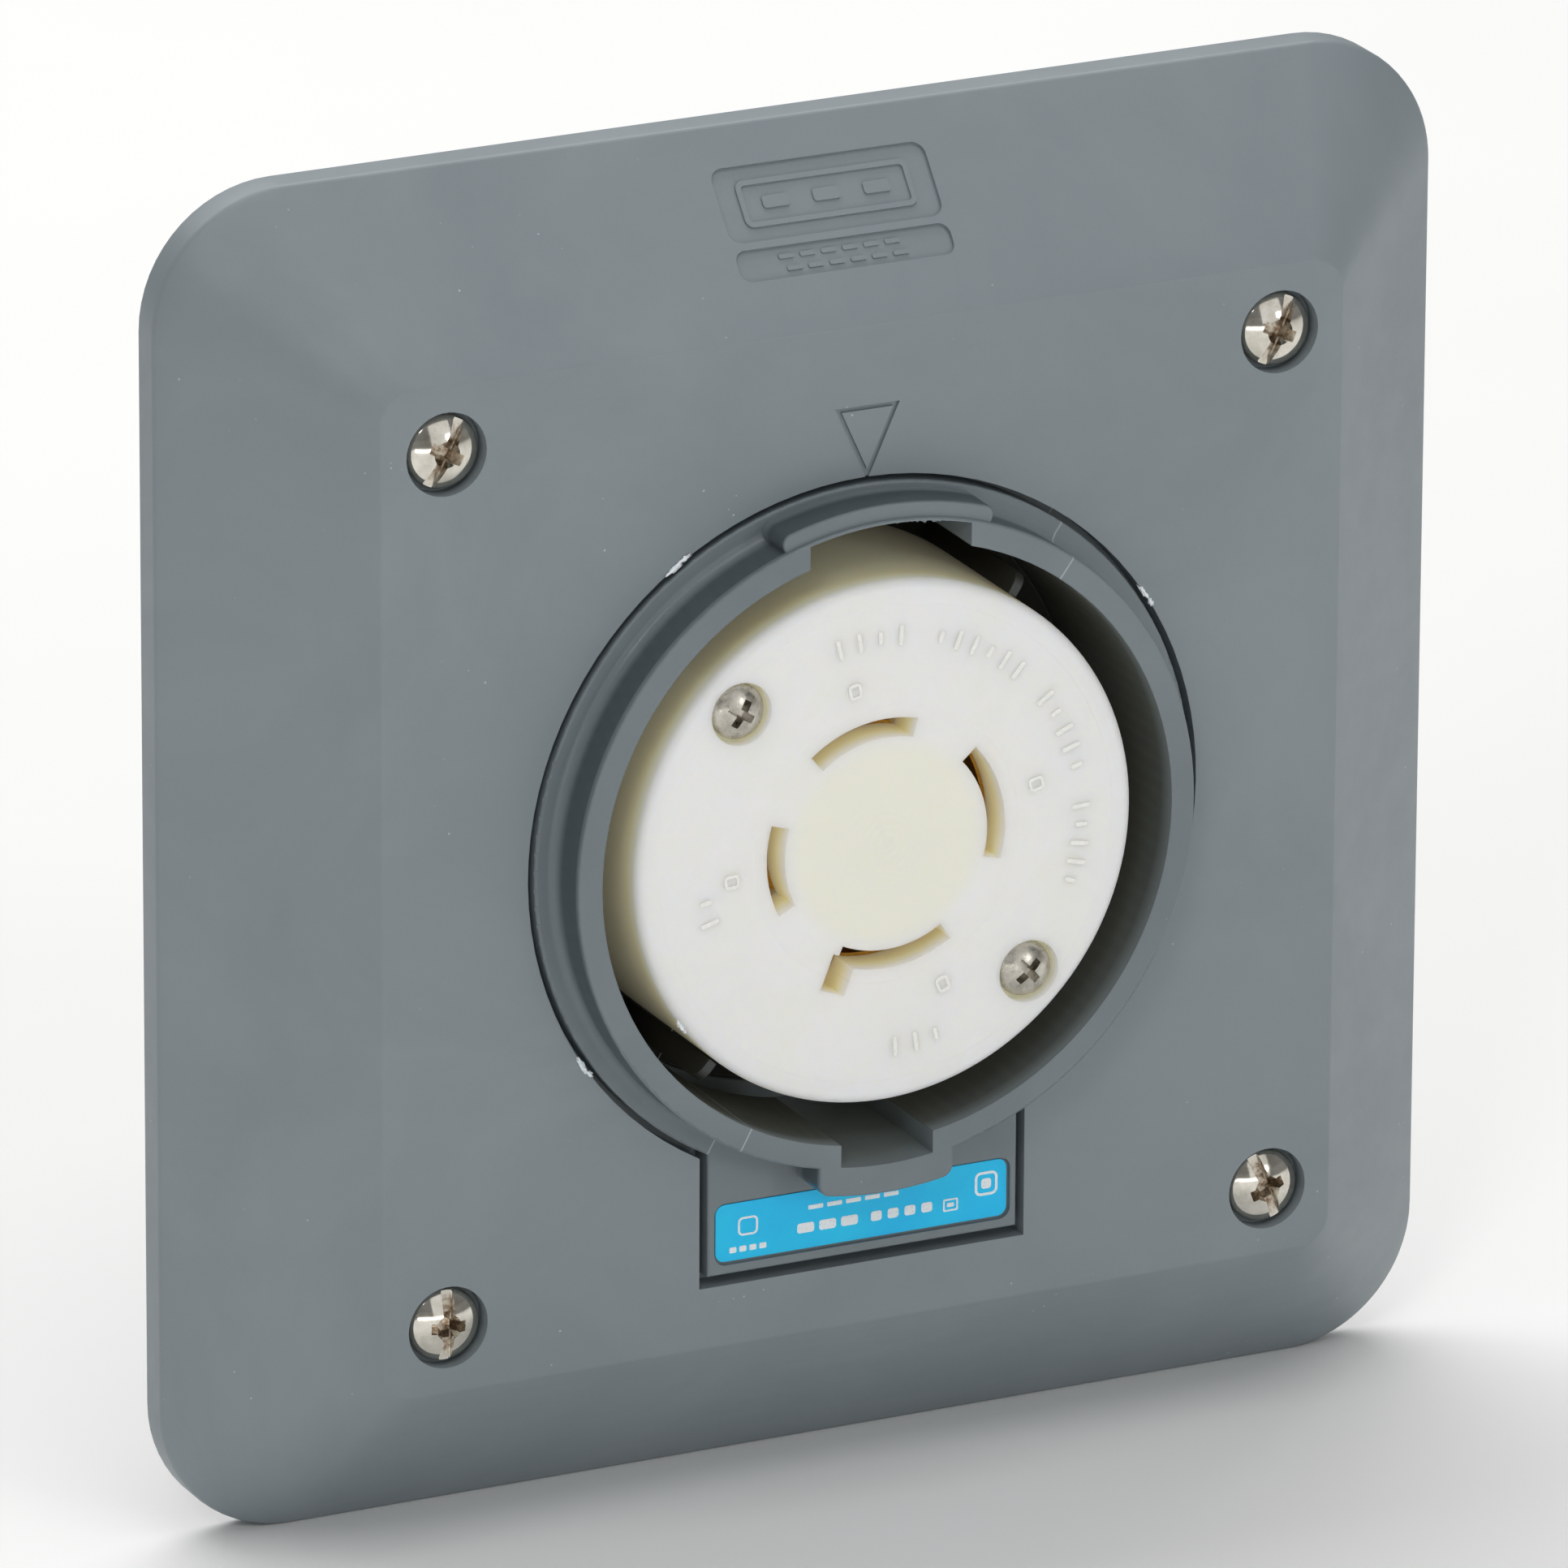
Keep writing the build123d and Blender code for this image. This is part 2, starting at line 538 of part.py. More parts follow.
def contact(name):
    """Brass contact: two curved leaves, a post through the floor, an arm and a terminal plate."""
    middle, sweep, terminal = SLOTS[name]
    start = middle - sweep / 2
    end = middle + sweep / 2
    gap_in = SLOT_R - CONTACT_GAP / 2
    gap_out = SLOT_R + CONTACT_GAP / 2
    foot = FLOOR_Z + 0.2
    leaves = sector(gap_in - CONTACT_T, gap_out + CONTACT_T, start, end, foot, CONTACT_TOP_Z)
    leaves -= sector(gap_in, gap_out, start - 1, end + 1, foot + 1.0, CONTACT_TOP_Z + 1)
    post = block(10.4, 10.4 + ARM_T, -ARM_W / 2, ARM_W / 2, ARM_Z, foot + 0.5)
    plate_out = TERMINAL_PLATE_R + ARM_T
    arm = block(10.4, plate_out, -ARM_W / 2, ARM_W / 2, ARM_Z, ARM_Z + ARM_T)
    half = TERMINAL_PLATE_W / 2
    plate = block(TERMINAL_PLATE_R, plate_out, -half, half, -21.5, ARM_Z + ARM_T)
    plate -= radial_rod(TERMINAL_SCREW_R + RUN, TERMINAL_PLATE_R - 1, plate_out + 1)
    return leaves + Rot(0, 0, terminal) * (post + arm + plate)


def radial_rod(radius, start, end):
    """A round bar on a terminal screw's axis, drawn on the +X side."""
    return Pos((start + end) / 2, 0, TERMINAL_Z) * Rot(0, 90, 0) * Cylinder(radius, end - start)


def head_seat(name):
    """Where the terminal screw's head bears, further out where the jumper is under it."""
    return TERMINAL_PLATE_R + ARM_T + (JUMPER_T if name == "ground" else 0.0)


def terminal_screw(name):
    """Terminal screw, its head towards the side of the body."""
    seat = head_seat(name)
    head = domed_head(TERMINAL_HEAD_R, 1.5, TERMINAL_HEAD_T - 1.5)
    head -= combination_recess(TERMINAL_HEAD_T, 1.1, 1.9, 1.5, 1.1)
    head = Pos(seat, 0, TERMINAL_Z) * Rot(0, 90, 0) * head
    screw = head + radial_rod(TERMINAL_SCREW_R, TERMINAL_SCREW_TIP_R, seat + 0.1)
    return Rot(0, 0, SLOTS[name][2]) * screw


def terminal_clamp(name):
    """Threaded clamp plate that the screw draws outward onto the wire."""
    half = CLAMP_W / 2
    plate = block(CLAMP_R, CLAMP_R + CLAMP_T, -half, half, TERMINAL_Z - 4.5, TERMINAL_Z + 4.5)
    upright = plate.edges().filter_by(Axis.X)
    plate = rounded(plate, upright, 0.8) - radial_rod(TERMINAL_SCREW_R + RUN, CLAMP_R - 1, CLAMP_R + 3)
    return Rot(0, 0, SLOTS[name][2]) * plate


# ---------------------------------------------------------------- strap and bonding

def retaining_strap():
    """Steel ring with four ears, which holds the housing's flange against the panel."""
    bottom = STRAP_TOP_Z - STRAP_T
    strap = tube(STRAP_OUT_R, bottom, STRAP_TOP_Z)
    for x, y in corners(2 * STRAP_SCREW_XY).values():
        strap += tube(STRAP_EAR_R, bottom, STRAP_TOP_Z, x, y)
        ear = Pos(x * 0.88, y * 0.88, 0) * Rot(0, 0, math.degrees(math.atan2(y, x)))
        strap += ear * block(-6, 6, -STRAP_EAR_R, STRAP_EAR_R, bottom, STRAP_TOP_Z)
    strap -= tube(STRAP_IN_R, bottom - 1, STRAP_TOP_Z + 1)
    for x, y in corners(2 * STRAP_SCREW_XY).values():
        strap -= tube(STRAP_SCREW_R + 0.15, bottom - 1, STRAP_TOP_Z + 1, x, y)
    return strap - tube(1.25, bottom - 1, STRAP_TOP_Z + 1, 0, -36.0)


def ground_jumper():
    """Bent strip that bonds the strap to the ground terminal."""
    half = JUMPER_W / 2
    inner = TERMINAL_PLATE_R + ARM_T
    strap_back = STRAP_TOP_Z - STRAP_T
    leg = block(inner, inner + JUMPER_T, -4, 4, TERMINAL_Z - 4, TERMINAL_Z + 4.8)
    leg -= radial_rod(TERMINAL_SCREW_R + RUN, inner - 1, inner + 2)
    shelf_z = TERMINAL_Z + 4.0
    shelf = block(inner, 32.5, -half, half, shelf_z, shelf_z + JUMPER_T)
    riser = block(32.5 - JUMPER_T, 32.5, -half, half, shelf_z, strap_back)
    foot = block(32.5 - JUMPER_T, 39.0, -half, half, strap_back - JUMPER_T, strap_back)
    foot -= tube(1.25, strap_back - 2, strap_back + 1, 36.0, 0)
    return Rot(0, 0, 270) * (leg + shelf + riser + foot)


def jumper_rivet():
    """Rivet through the jumper's foot and the strap."""
    low = STRAP_TOP_Z - STRAP_T - JUMPER_T
    return tube(1.25, low, STRAP_TOP_Z, 0, -36.0) + tube(2.1, low - 0.7, low, 0, -36.0)


# ---------------------------------------------------------------- assembly

def stand_up(piece):
    """Turn a piece from the bench to the wall: front to -Y, up to +Z."""
    return Rot(90, 0, 0) * piece


def nodes():
    """Every sub-part, by its node's name."""
    parts = {"cover_plate": cover_plate(), "shroud_housing": shroud_housing(),
             "rating_label": rating_label(), "receptacle_face": receptacle_face(),
             "rear_body": rear_body(), "rear_cover": rear_cover(),
             "retaining_strap": retaining_strap(), "ground_jumper": ground_jumper(),
             "jumper_rivet": jumper_rivet(), "face_screws": face_screws(),
             "strap_screws": strap_screws(), "rear_cover_screws": rear_cover_screws()}
    for name in corners(SCREW_SPACING):
        parts["mounting_screw_" + name] = mounting_screw(name)
        parts["screw_retainer_" + name] = screw_retainer(name)
    for name in SLOTS:
        label = name if name == "ground" else "line_" + name
        parts[label + "_contact"] = contact(name)
        parts[label + "_terminal_screw"] = terminal_screw(name)
        parts[label + "_clamp"] = terminal_clamp(name)
    return parts


os.makedirs("parts", exist_ok=True)
for node, piece in nodes().items():
    export_step(stand_up(piece), os.path.join("parts", node + ".step"))
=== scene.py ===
"""A flush-mounted locking receptacle in a dished square cover plate, on a plain pale floor.

Pieces made here are drawn on the bench, in millimetres: x to the right, y up the wall and z out
of the wall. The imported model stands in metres, with its front towards -Y.
"""
import json
import math
import random

import bmesh
import bpy
from mathutils import Matrix, Vector, noise


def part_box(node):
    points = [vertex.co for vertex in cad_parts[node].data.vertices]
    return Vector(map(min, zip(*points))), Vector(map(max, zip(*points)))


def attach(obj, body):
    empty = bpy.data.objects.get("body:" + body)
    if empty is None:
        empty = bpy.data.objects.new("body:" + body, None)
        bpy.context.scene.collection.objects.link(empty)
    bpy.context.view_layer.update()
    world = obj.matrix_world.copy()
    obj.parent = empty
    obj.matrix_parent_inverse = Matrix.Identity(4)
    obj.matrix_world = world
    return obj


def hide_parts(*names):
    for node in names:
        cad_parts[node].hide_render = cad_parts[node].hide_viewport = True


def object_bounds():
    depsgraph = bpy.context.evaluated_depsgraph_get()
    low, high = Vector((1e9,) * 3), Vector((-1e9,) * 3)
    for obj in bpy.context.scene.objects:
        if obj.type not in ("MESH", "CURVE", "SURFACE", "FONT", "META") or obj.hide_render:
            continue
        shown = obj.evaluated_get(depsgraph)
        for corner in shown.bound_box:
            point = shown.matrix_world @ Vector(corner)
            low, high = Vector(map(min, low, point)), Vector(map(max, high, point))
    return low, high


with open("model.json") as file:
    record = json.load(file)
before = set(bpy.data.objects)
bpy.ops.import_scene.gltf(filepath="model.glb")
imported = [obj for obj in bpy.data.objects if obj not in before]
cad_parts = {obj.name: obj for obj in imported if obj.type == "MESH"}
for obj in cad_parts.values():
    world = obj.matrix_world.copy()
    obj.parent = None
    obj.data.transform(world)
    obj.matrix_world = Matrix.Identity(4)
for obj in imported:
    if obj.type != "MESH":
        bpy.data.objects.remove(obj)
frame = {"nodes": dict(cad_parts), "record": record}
CAD_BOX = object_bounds()

MM = 0.001
TURN = 2 * math.pi
BENCH = Matrix(((MM, 0, 0, 0), (0, 0, -MM, 0), (0, MM, 0, 0), (0, 0, 0, 1)))
CORNERS = ("upper_left", "upper_right", "lower_left", "lower_right")
SLOT_ANGLE = {"upper_left": 62, "upper_right": 66, "lower_left": 88, "lower_right": 112}
TERMINALS = {"line_x": 90, "line_y": 0, "line_z": 180, "ground": 270}


def bench_box(node):
    """Lowest and highest corner of a CAD node, on the bench."""
    low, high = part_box(node)
    return Vector((low.x, low.z, -high.y)) / MM, Vector((high.x, high.z, -low.y)) / MM


PANEL_Z = bench_box("cover_plate")[1].z
RIM_Z = bench_box("shroud_housing")[1].z
FACE_Z = bench_box("receptacle_face")[1].z
LABEL_LOW, LABEL_HIGH = bench_box("rating_label")
LABEL_MIDDLE = (LABEL_LOW + LABEL_HIGH) / 2
REAR_Z = bench_box("rear_cover")[0].z
PLATE_SKIN = 2.6
PLATE_BACK_Z = PANEL_Z - PLATE_SKIN
SCREW_TOP_Z = bench_box("mounting_screw_upper_left")[1].z
SCREW_SPACING = 82.55
SCREW_BALL_R = 5.75          # of the domed heads in the corners
SCREW_DOME, SCREW_SIDE = 1.15, 1.1
SCREW_SLOT_W = 1.15
SCREW_PLAIN_Z = 6.0          # where the corner screws' thread ends and the plain shank starts
FACE_SCREW_SUNK = 1.3
TERMINAL_TIP_R = 14.0        # distance of the terminal screws' tips from the axis
NO_6_PITCH = 0.794           # 32 threads to the inch, for the No. 8 screws too
SMALL_PITCH = 0.72
SHARP_EDGE = 32              # degrees, above which an edge is shaded sharp
SHROUD_BORE_R = 28.4
SHROUD_R = 30.75
KEYWAY_R = 30.5
FACE_SCREWS = ((135, 20.4), (315, 20.4))
REAR_SCREWS = ((45, 21.0), (225, 21.0))
STRAP_SCREW_XY = 33.0
PARTING_LINES = (53.5, 241.5)


# ---------------------------------------------------------------- finishes

def srgb(red, green, blue):
    """A colour given from 0 to 255, as Blender wants it."""
    shares = [level / 255 for level in (red, green, blue)]
    return (*[c / 12.92 if c < 0.04 else ((c + 0.055) / 1.055) ** 2.4 for c in shares], 1.0)


class Finish:
    """A node material, put together with short calls. Its textures are laid out in millimetres."""

    def __init__(self, name, **sockets):
        self.material = bpy.data.materials.new(name)
        self.material.use_nodes = True
        self.tree = self.material.node_tree
        self.shader = self.tree.nodes["Principled BSDF"]
        for socket, value in sockets.items():
            self.shader.inputs[socket.replace("_", " ")].default_value = value
        self.spot = self.add("ShaderNodeTexCoord").outputs["Object"]
        self.height = None

    def add(self, kind, **settings):
        node = self.tree.nodes.new(kind)
        for key, value in settings.items():
            setattr(node, key, value)
        return node

    def join(self, source, target):
        self.tree.links.new(source, target)

    def place(self, stretch=(1, 1, 1), turn=(0, 0, 0)):
        """Millimetre coordinates, stretched along the axes."""
        node = self.add("ShaderNodeMapping")
        node.inputs["Scale"].default_value = [s / MM for s in stretch]
        node.inputs["Rotation"].default_value = turn
        self.join(self.spot, node.inputs["Vector"])
        return node.outputs["Vector"]

    def noise(self, size, detail=3.0, rough=0.55, stretch=(1, 1, 1), warp=0.0):
        """Soft noise from 0 to 1, with blotches about that many millimetres across."""
        node = self.add("ShaderNodeTexNoise")
        node.inputs["Scale"].default_value = 1 / size
        node.inputs["Detail"].default_value = detail
        node.inputs["Roughness"].default_value = rough
        node.inputs["Distortion"].default_value = warp
        self.join(self.place(stretch), node.inputs["Vector"])
        return node.outputs["Fac"]

    def cells(self, size):
        """Distances in a field of cells about that many millimetres across."""
        node = self.add("ShaderNodeTexVoronoi", feature="F1")
        node.inputs["Scale"].default_value = 1 / size
        self.join(self.place(), node.inputs["Vector"])
        return node.outputs["Distance"]

    def spread(self, value, low, high, out_low=0.0, out_high=1.0):
        """The value mapped from one range to another, and clamped."""
        node = self.add("ShaderNodeMapRange")
        limits = {"From Min": low, "From Max": high, "To Min": out_low, "To Max": out_high}
        for socket, number in limits.items():
            node.inputs[socket].default_value = number
        self.join(value, node.inputs["Value"])
        return node.outputs["Result"]

    def product(self, first, second):
        """first * second."""
        node = self.add("ShaderNodeMath", operation="MULTIPLY")
        self.join(first, node.inputs[0])
        self.join(second, node.inputs[1])
        return node.outputs["Value"]

    def sum(self, first, second, weight):
        """first + weight * second."""
        node = self.add("ShaderNodeMath", operation="MULTIPLY_ADD")
        node.inputs[1].default_value = weight
        self.join(second, node.inputs[0])
        self.join(first, node.inputs[2])
        return node.outputs["Value"]

    def out_of_wall(self):
        """Distance out of the wall, in millimetres."""
        parts = self.add("ShaderNodeSeparateXYZ")
        self.join(self.place((1, -1, 1)), parts.inputs[0])
        return parts.outputs["Y"]

    def radius(self, spacing=0.0):
        """Distance in millimetres from the receptacle's axis, or from the nearest corner of a square."""
        parts = self.add("ShaderNodeSeparateXYZ")
        flat = self.add("ShaderNodeCombineXYZ")
        length = self.add("ShaderNodeVectorMath", operation="LENGTH")
        self.join(self.place(), parts.inputs[0])
        for axis in ("X", "Z"):
            positive = self.add("ShaderNodeMath", operation="ABSOLUTE")
            centred = self.add("ShaderNodeMath", operation="SUBTRACT")
            centred.inputs[1].default_value = spacing / 2
            self.join(parts.outputs[axis], positive.inputs[0])
            self.join(positive.outputs[0], centred.inputs[0])
            self.join(centred.outputs[0], flat.inputs[axis])
        self.join(flat.outputs[0], length.inputs[0])
        return length.outputs["Value"]

    def scribed(self, angle):
        """A fine radial line at an angle in degrees, seen from the front: 1 on it and 0 beside it."""
        a = math.radians(angle)
        parts = []
        for direction in ((math.sin(a), 0, -math.cos(a)), (math.cos(a), 0, math.sin(a))):
            node = self.add("ShaderNodeVectorMath", operation="DOT_PRODUCT")
            node.inputs[1].default_value = direction
            self.join(self.place(), node.inputs[0])
            parts.append(node.outputs["Value"])
        beside = self.add("ShaderNodeMath", operation="ABSOLUTE")
        self.join(parts[0], beside.inputs[0])
        on_line = self.spread(beside.outputs[0], 0.04, 0.10, 1.0, 0.0)
        return self.product(on_line, self.spread(parts[1], 20, 21))

    def ramp(self, value, *stops):
        """Colours along a value: (position, colour) pairs."""
        node = self.add("ShaderNodeValToRGB")
        band = node.color_ramp
        while len(band.elements) < len(stops):
            band.elements.new(0.5)
        for element, (position, colour) in zip(band.elements, stops):
            element.position = position
            element.color = colour
        self.join(value, node.inputs["Fac"])
        return node.outputs["Color"]

    def blend(self, first, second, amount):
        """Two colours mixed by an amount that varies over the surface."""
        node = self.add("ShaderNodeMix", data_type="RGBA")
        self.join(first, node.inputs[6])
        if isinstance(second, tuple):
            node.inputs[7].default_value = second
        else:
            self.join(second, node.inputs[7])
        self.join(amount, node.inputs["Factor"])
        return node.outputs[2]

    def colour(self, colour):
        self.join(colour, self.shader.inputs["Base Color"])

    def roughness(self, value):
        self.join(value, self.shader.inputs["Roughness"])

    def relief(self, height, depth):
        """Bumps of that depth in millimetres, on top of any already there."""
        node = self.add("ShaderNodeBump")
        node.inputs["Distance"].default_value = depth * MM
        self.join(height, node.inputs["Height"])
        if self.height is not None:
            self.join(self.height, node.inputs["Normal"])
        self.height = node.outputs["Normal"]
        self.join(self.height, self.shader.inputs["Normal"])


def moulded(name, light, dark, rough, grain, IOR=1.48):
    """Moulded engineering plastic: fine grain, flow mottling, a few rub marks and pale dust."""
    finish = Finish(name, IOR=IOR)
    mottle = finish.noise(26, 4, 0.6, warp=0.6)
    speck = finish.noise(0.35, 2)
    base = finish.ramp(finish.sum(mottle, speck, 0.12), (0.40, dark), (0.72, light))
    dust = finish.spread(finish.cells(1.7), 0.045, 0.075, 1.0, 0.0)
    seldom = finish.spread(finish.noise(9, 1), 0.60, 0.66)
    specks = finish.product(dust, seldom)
    pale = tuple(min(1.0, c * 1.7 + 0.03) for c in light[:3]) + (1.0,)
    finish.colour(finish.blend(base, pale, specks))
    rubs = finish.noise(3.2, 5, 0.7, stretch=(0.25, 1, 1))
    finish.roughness(finish.spread(finish.sum(rubs, speck, 0.3), 0.35, 0.95, rough - 0.07, rough + 0.09))
    finish.relief(finish.noise(0.16, 2), grain)
    finish.relief(finish.noise(1.3, 3), grain * 0.7)
    finish.relief(finish.noise(38, 2), 0.05)
    return finish


def grey_plastic():
    return moulded("grey_moulding", srgb(136, 145, 150), srgb(128, 138, 143), 0.42, 0.006).material


def housing_plastic():
    """Smoother grey moulding, with shade painted into its colour: darker on its upright walls and darkest
    down in the socket.
    """
    finish = moulded("housing_moulding", srgb(122, 132, 136), srgb(112, 122, 127), 0.38, 0.005)
    base = finish.shader.inputs["Base Color"].links[0].from_socket
    # Painted shade: inside the bore and below the rim the colour darkens to a dark olive grey.
    inside = finish.spread(finish.radius(), SHROUD_BORE_R - 0.1, SHROUD_BORE_R + 0.15, 1.0, 0.0)
    sunk = finish.spread(finish.out_of_wall(), RIM_Z - 2.2, RIM_Z - 0.4, 1.0, 0.15)
    outside = finish.spread(finish.radius(), SHROUD_R - 0.1, SHROUD_R, 0.0, 1.0)
    high = finish.spread(finish.out_of_wall(), RIM_Z - 4.2, RIM_Z - 3.4, 0.0, 1.0)
    low = finish.spread(finish.out_of_wall(), RIM_Z - 0.7, RIM_Z - 0.5, 1.0, 0.0)
    dark = finish.product(inside, sunk)
    base = finish.blend(base, srgb(44, 44, 38), dark)
    finish.roughness(finish.sum(finish.spread(finish.noise(3.2, 5, 0.7), 0.35, 0.95, 0.31, 0.47), dark, 0.35))
    # Painted shade: the upright outer wall of the shroud is darkened.
    base = finish.blend(base, srgb(80, 89, 93), finish.product(outside, finish.product(high, low)))
    for angle in PARTING_LINES:
        base = finish.blend(base, srgb(164, 172, 176), finish.scribed(angle))
    finish.colour(base)
    return finish.material


def black_plastic():
    return moulded("black_moulding", srgb(52, 53, 55), srgb(38, 39, 41), 0.46, 0.008).material


def white_nylon():
    """Ivory white nylon: milky, faintly mottled, with turning rings around its middle; below the face's top,
    light is painted in as a warmer colour and a faint glow.
    """
    finish = Finish("white_nylon", IOR=1.53)
    finish.shader.inputs["Subsurface Weight"].default_value = 1.0
    finish.shader.inputs["Subsurface Radius"].default_value = (1.0, 0.92, 0.80)
    finish.shader.inputs["Subsurface Scale"].default_value = 3.0 * MM
    mottle = finish.noise(7, 4, 0.6, warp=0.4)
    base = finish.ramp(mottle, (0.35, srgb(248, 249, 240)), (0.68, srgb(251, 252, 246)))
    middle = finish.spread(finish.radius(), 8.5, 10.4, 1.0, 0.0)
    base = finish.blend(base, srgb(249, 247, 232), middle)
    # Painted light: the colour turns warmer and yellower below the top of the face, standing in for light the
    # translucent nylon carries into its shaded walls.
    deep = finish.spread(finish.out_of_wall(), FACE_Z - 2.2, FACE_Z - 0.5, 1.0, 0.0)
    finish.colour(finish.blend(base, srgb(255, 240, 204), deep))
    # Painted light: the nylon glows faintly in its slots and down the face's walls, standing in for light
    # carried through it.
    slots = finish.spread(finish.radius(), 15.0, 17.0, 0.075, 0.08)
    shine = finish.product(slots, finish.spread(finish.out_of_wall(), FACE_Z - 24.0, FACE_Z - 1.0, 0.0, 1.0))
    carried = finish.product(shine, finish.spread(finish.out_of_wall(), FACE_Z - 1.6, FACE_Z - 0.1, 1.0, 0.0))
    finish.join(carried, finish.shader.inputs["Emission Strength"])
    finish.shader.inputs["Emission Color"].default_value = srgb(255, 243, 208)
    finish.roughness(finish.spread(finish.noise(2.0, 4), 0.3, 0.8, 0.34, 0.46))
    rings = finish.add("ShaderNodeMath", operation="SINE")
    finish.join(finish.sum(finish.noise(4, 2), finish.radius(), 9.5), rings.inputs[0])
    near = finish.spread(finish.radius(), 1.0, 5.2, 1.0, 0.0)
    finish.relief(finish.product(rings.outputs[0], near), 0.02)
    for step_r in (13.2, 22.6):
        finish.relief(finish.spread(finish.radius(), step_r - 0.08, step_r + 0.08, 1.0, 0.0), 0.035)
    finish.relief(finish.noise(0.4, 3), 0.006)
    finish.relief(finish.noise(11, 2), 0.06)
    return finish.material


def nylon_marks():
    """The face's raised marks, polished a little brighter than the nylon around them."""
    finish = Finish("nylon_marks", IOR=1.53)
    finish.colour(finish.ramp(finish.noise(0.6, 3), (0.35, srgb(244, 244, 238)), (0.68, srgb(250, 250, 246))))
    finish.roughness(finish.spread(finish.noise(1.0, 3), 0.3, 0.8, 0.22, 0.36))
    finish.relief(finish.noise(0.3, 2), 0.004)
    return finish.material


def label_film():
    """Glossy blue film with a little orange peel and a slightly uneven ink."""
    finish = Finish("label_film", IOR=1.49)
    ink = finish.noise(0.5, 3)
    cloud = finish.noise(6, 2)
    uneven = finish.sum(cloud, ink, 0.2)
    finish.colour(finish.ramp(uneven, (0.35, srgb(2, 196, 255)), (0.80, srgb(16, 208, 255))))
    finish.roughness(finish.spread(finish.noise(1.4, 3), 0.3, 0.7, 0.30, 0.40))
    finish.relief(finish.noise(0.8, 2), 0.006)
    return finish.material


def label_ink():
    """White screen-printed ink, thin in places."""
    finish = Finish("label_ink", IOR=1.49)
    thin = finish.noise(0.22, 3)
    finish.colour(finish.ramp(thin, (0.28, srgb(196, 226, 244)), (0.45, srgb(244, 249, 252))))
    finish.roughness(finish.spread(thin, 0.3, 0.7, 0.42, 0.56))
    finish.relief(thin, 0.004)
    return finish.material


def plated(name, light, dark, rough, stain=0.0):
    """Plated metal: cloudy plating, fine scratches, and a duller film in places."""
    finish = Finish(name, Metallic=1.0)
    cloud = finish.noise(1.3, 4, 0.6)
    pits = finish.spread(finish.cells(0.28), 0.06, 0.16, 0.0, 1.0)
    base = finish.ramp(cloud, (0.35, dark), (0.62, light))
    finish.colour(finish.blend(base, tuple(c * (0.8 - stain) for c in dark[:3]) + (1.0,),
                               finish.spread(finish.noise(0.7, 3), 0.60, 0.74)))
    finish.roughness(finish.spread(finish.noise(0.5, 4), 0.30, 0.75, rough * 0.7, rough * 1.5))
    finish.relief(pits, 0.0015)
    finish.relief(finish.noise(0.3, 3, stretch=(0.2, 1, 1)), 0.003)
    return finish.material


def chrome_plate():
    """Bright plating, brown and rough inside the drive recess of the four corner screws."""
    finish = Finish("chrome_screw", Metallic=1.0)
    cloud = finish.noise(1.3, 4, 0.6)
    base = finish.ramp(cloud, (0.35, srgb(204, 199, 187)), (0.62, srgb(226, 222, 212)))
    square = finish.add("ShaderNodeMath", operation="POWER")
    square.inputs[1].default_value = 2.0
    finish.join(finish.radius(SCREW_SPACING), square.inputs[0])
    sunk = finish.spread(finish.sum(finish.out_of_wall(), square.outputs[0], 0.5 / SCREW_BALL_R),
                         SCREW_TOP_Z - 0.75, SCREW_TOP_Z - 0.12, 1.0, 0.0)
    grime = finish.ramp(finish.noise(0.5, 4, 0.7), (0.36, srgb(128, 102, 78)), (0.58, srgb(212, 203, 188)))
    finish.colour(finish.blend(base, grime, sunk))
    even = finish.spread(finish.noise(0.5, 4), 0.30, 0.75, 0.07, 0.13)
    finish.roughness(finish.sum(even, sunk, 0.22))
    finish.relief(finish.noise(0.25, 3), 0.0015)
    return finish.material


def zinc_steel():
    """Zinc-plated strip: rolling streaks along it and soft spangle."""
    finish = Finish("zinc_steel", Metallic=1.0)
    streaks = finish.noise(0.5, 4, 0.6, stretch=(0.04, 1, 1))
    spangle = finish.cells(1.6)
    base = finish.ramp(spangle, (0.1, srgb(176, 181, 186)), (0.7, srgb(200, 203, 206)))
    finish.colour(finish.blend(base, srgb(150, 152, 150), finish.spread(finish.noise(7, 4), 0.56, 0.74)))
    finish.roughness(finish.spread(streaks, 0.3, 0.7, 0.26, 0.44))
    finish.relief(streaks, 0.004)
    return finish.material


def brass(name, light, dark, rough):
    """Stamped brass with a brown tarnish in patches and stamping streaks."""
    finish = Finish(name, Metallic=1.0)
    base = finish.ramp(finish.noise(2.2, 4, 0.6), (0.35, dark), (0.65, light))
    finish.colour(finish.blend(base, srgb(120, 84, 38), finish.spread(finish.noise(4.5, 5, 0.7), 0.60, 0.80)))
    streaks = finish.noise(0.8, 4, stretch=(0.3, 1, 1))
    finish.roughness(finish.spread(streaks, 0.3, 0.7, rough * 0.8, rough * 1.3))
    finish.relief(finish.noise(0.3, 3, stretch=(0.2, 1, 1)), 0.004)
    return finish.material


def retainer_nylon():
    """Milky washer nylon."""
    finish = Finish("retainer_nylon", IOR=1.53)
    finish.shader.inputs["Subsurface Weight"].default_value = 0.5
    finish.shader.inputs["Subsurface Radius"].default_value = (1.0, 0.9, 0.7)
    finish.shader.inputs["Subsurface Scale"].default_value = MM
    finish.colour(finish.ramp(finish.noise(1.4, 3), (0.35, srgb(222, 222, 212)), (0.70, srgb(240, 240, 234))))
    finish.roughness(finish.spread(finish.noise(0.6, 3), 0.3, 0.7, 0.38, 0.52))
    finish.relief(finish.noise(0.3, 3), 0.005)
    return finish.material


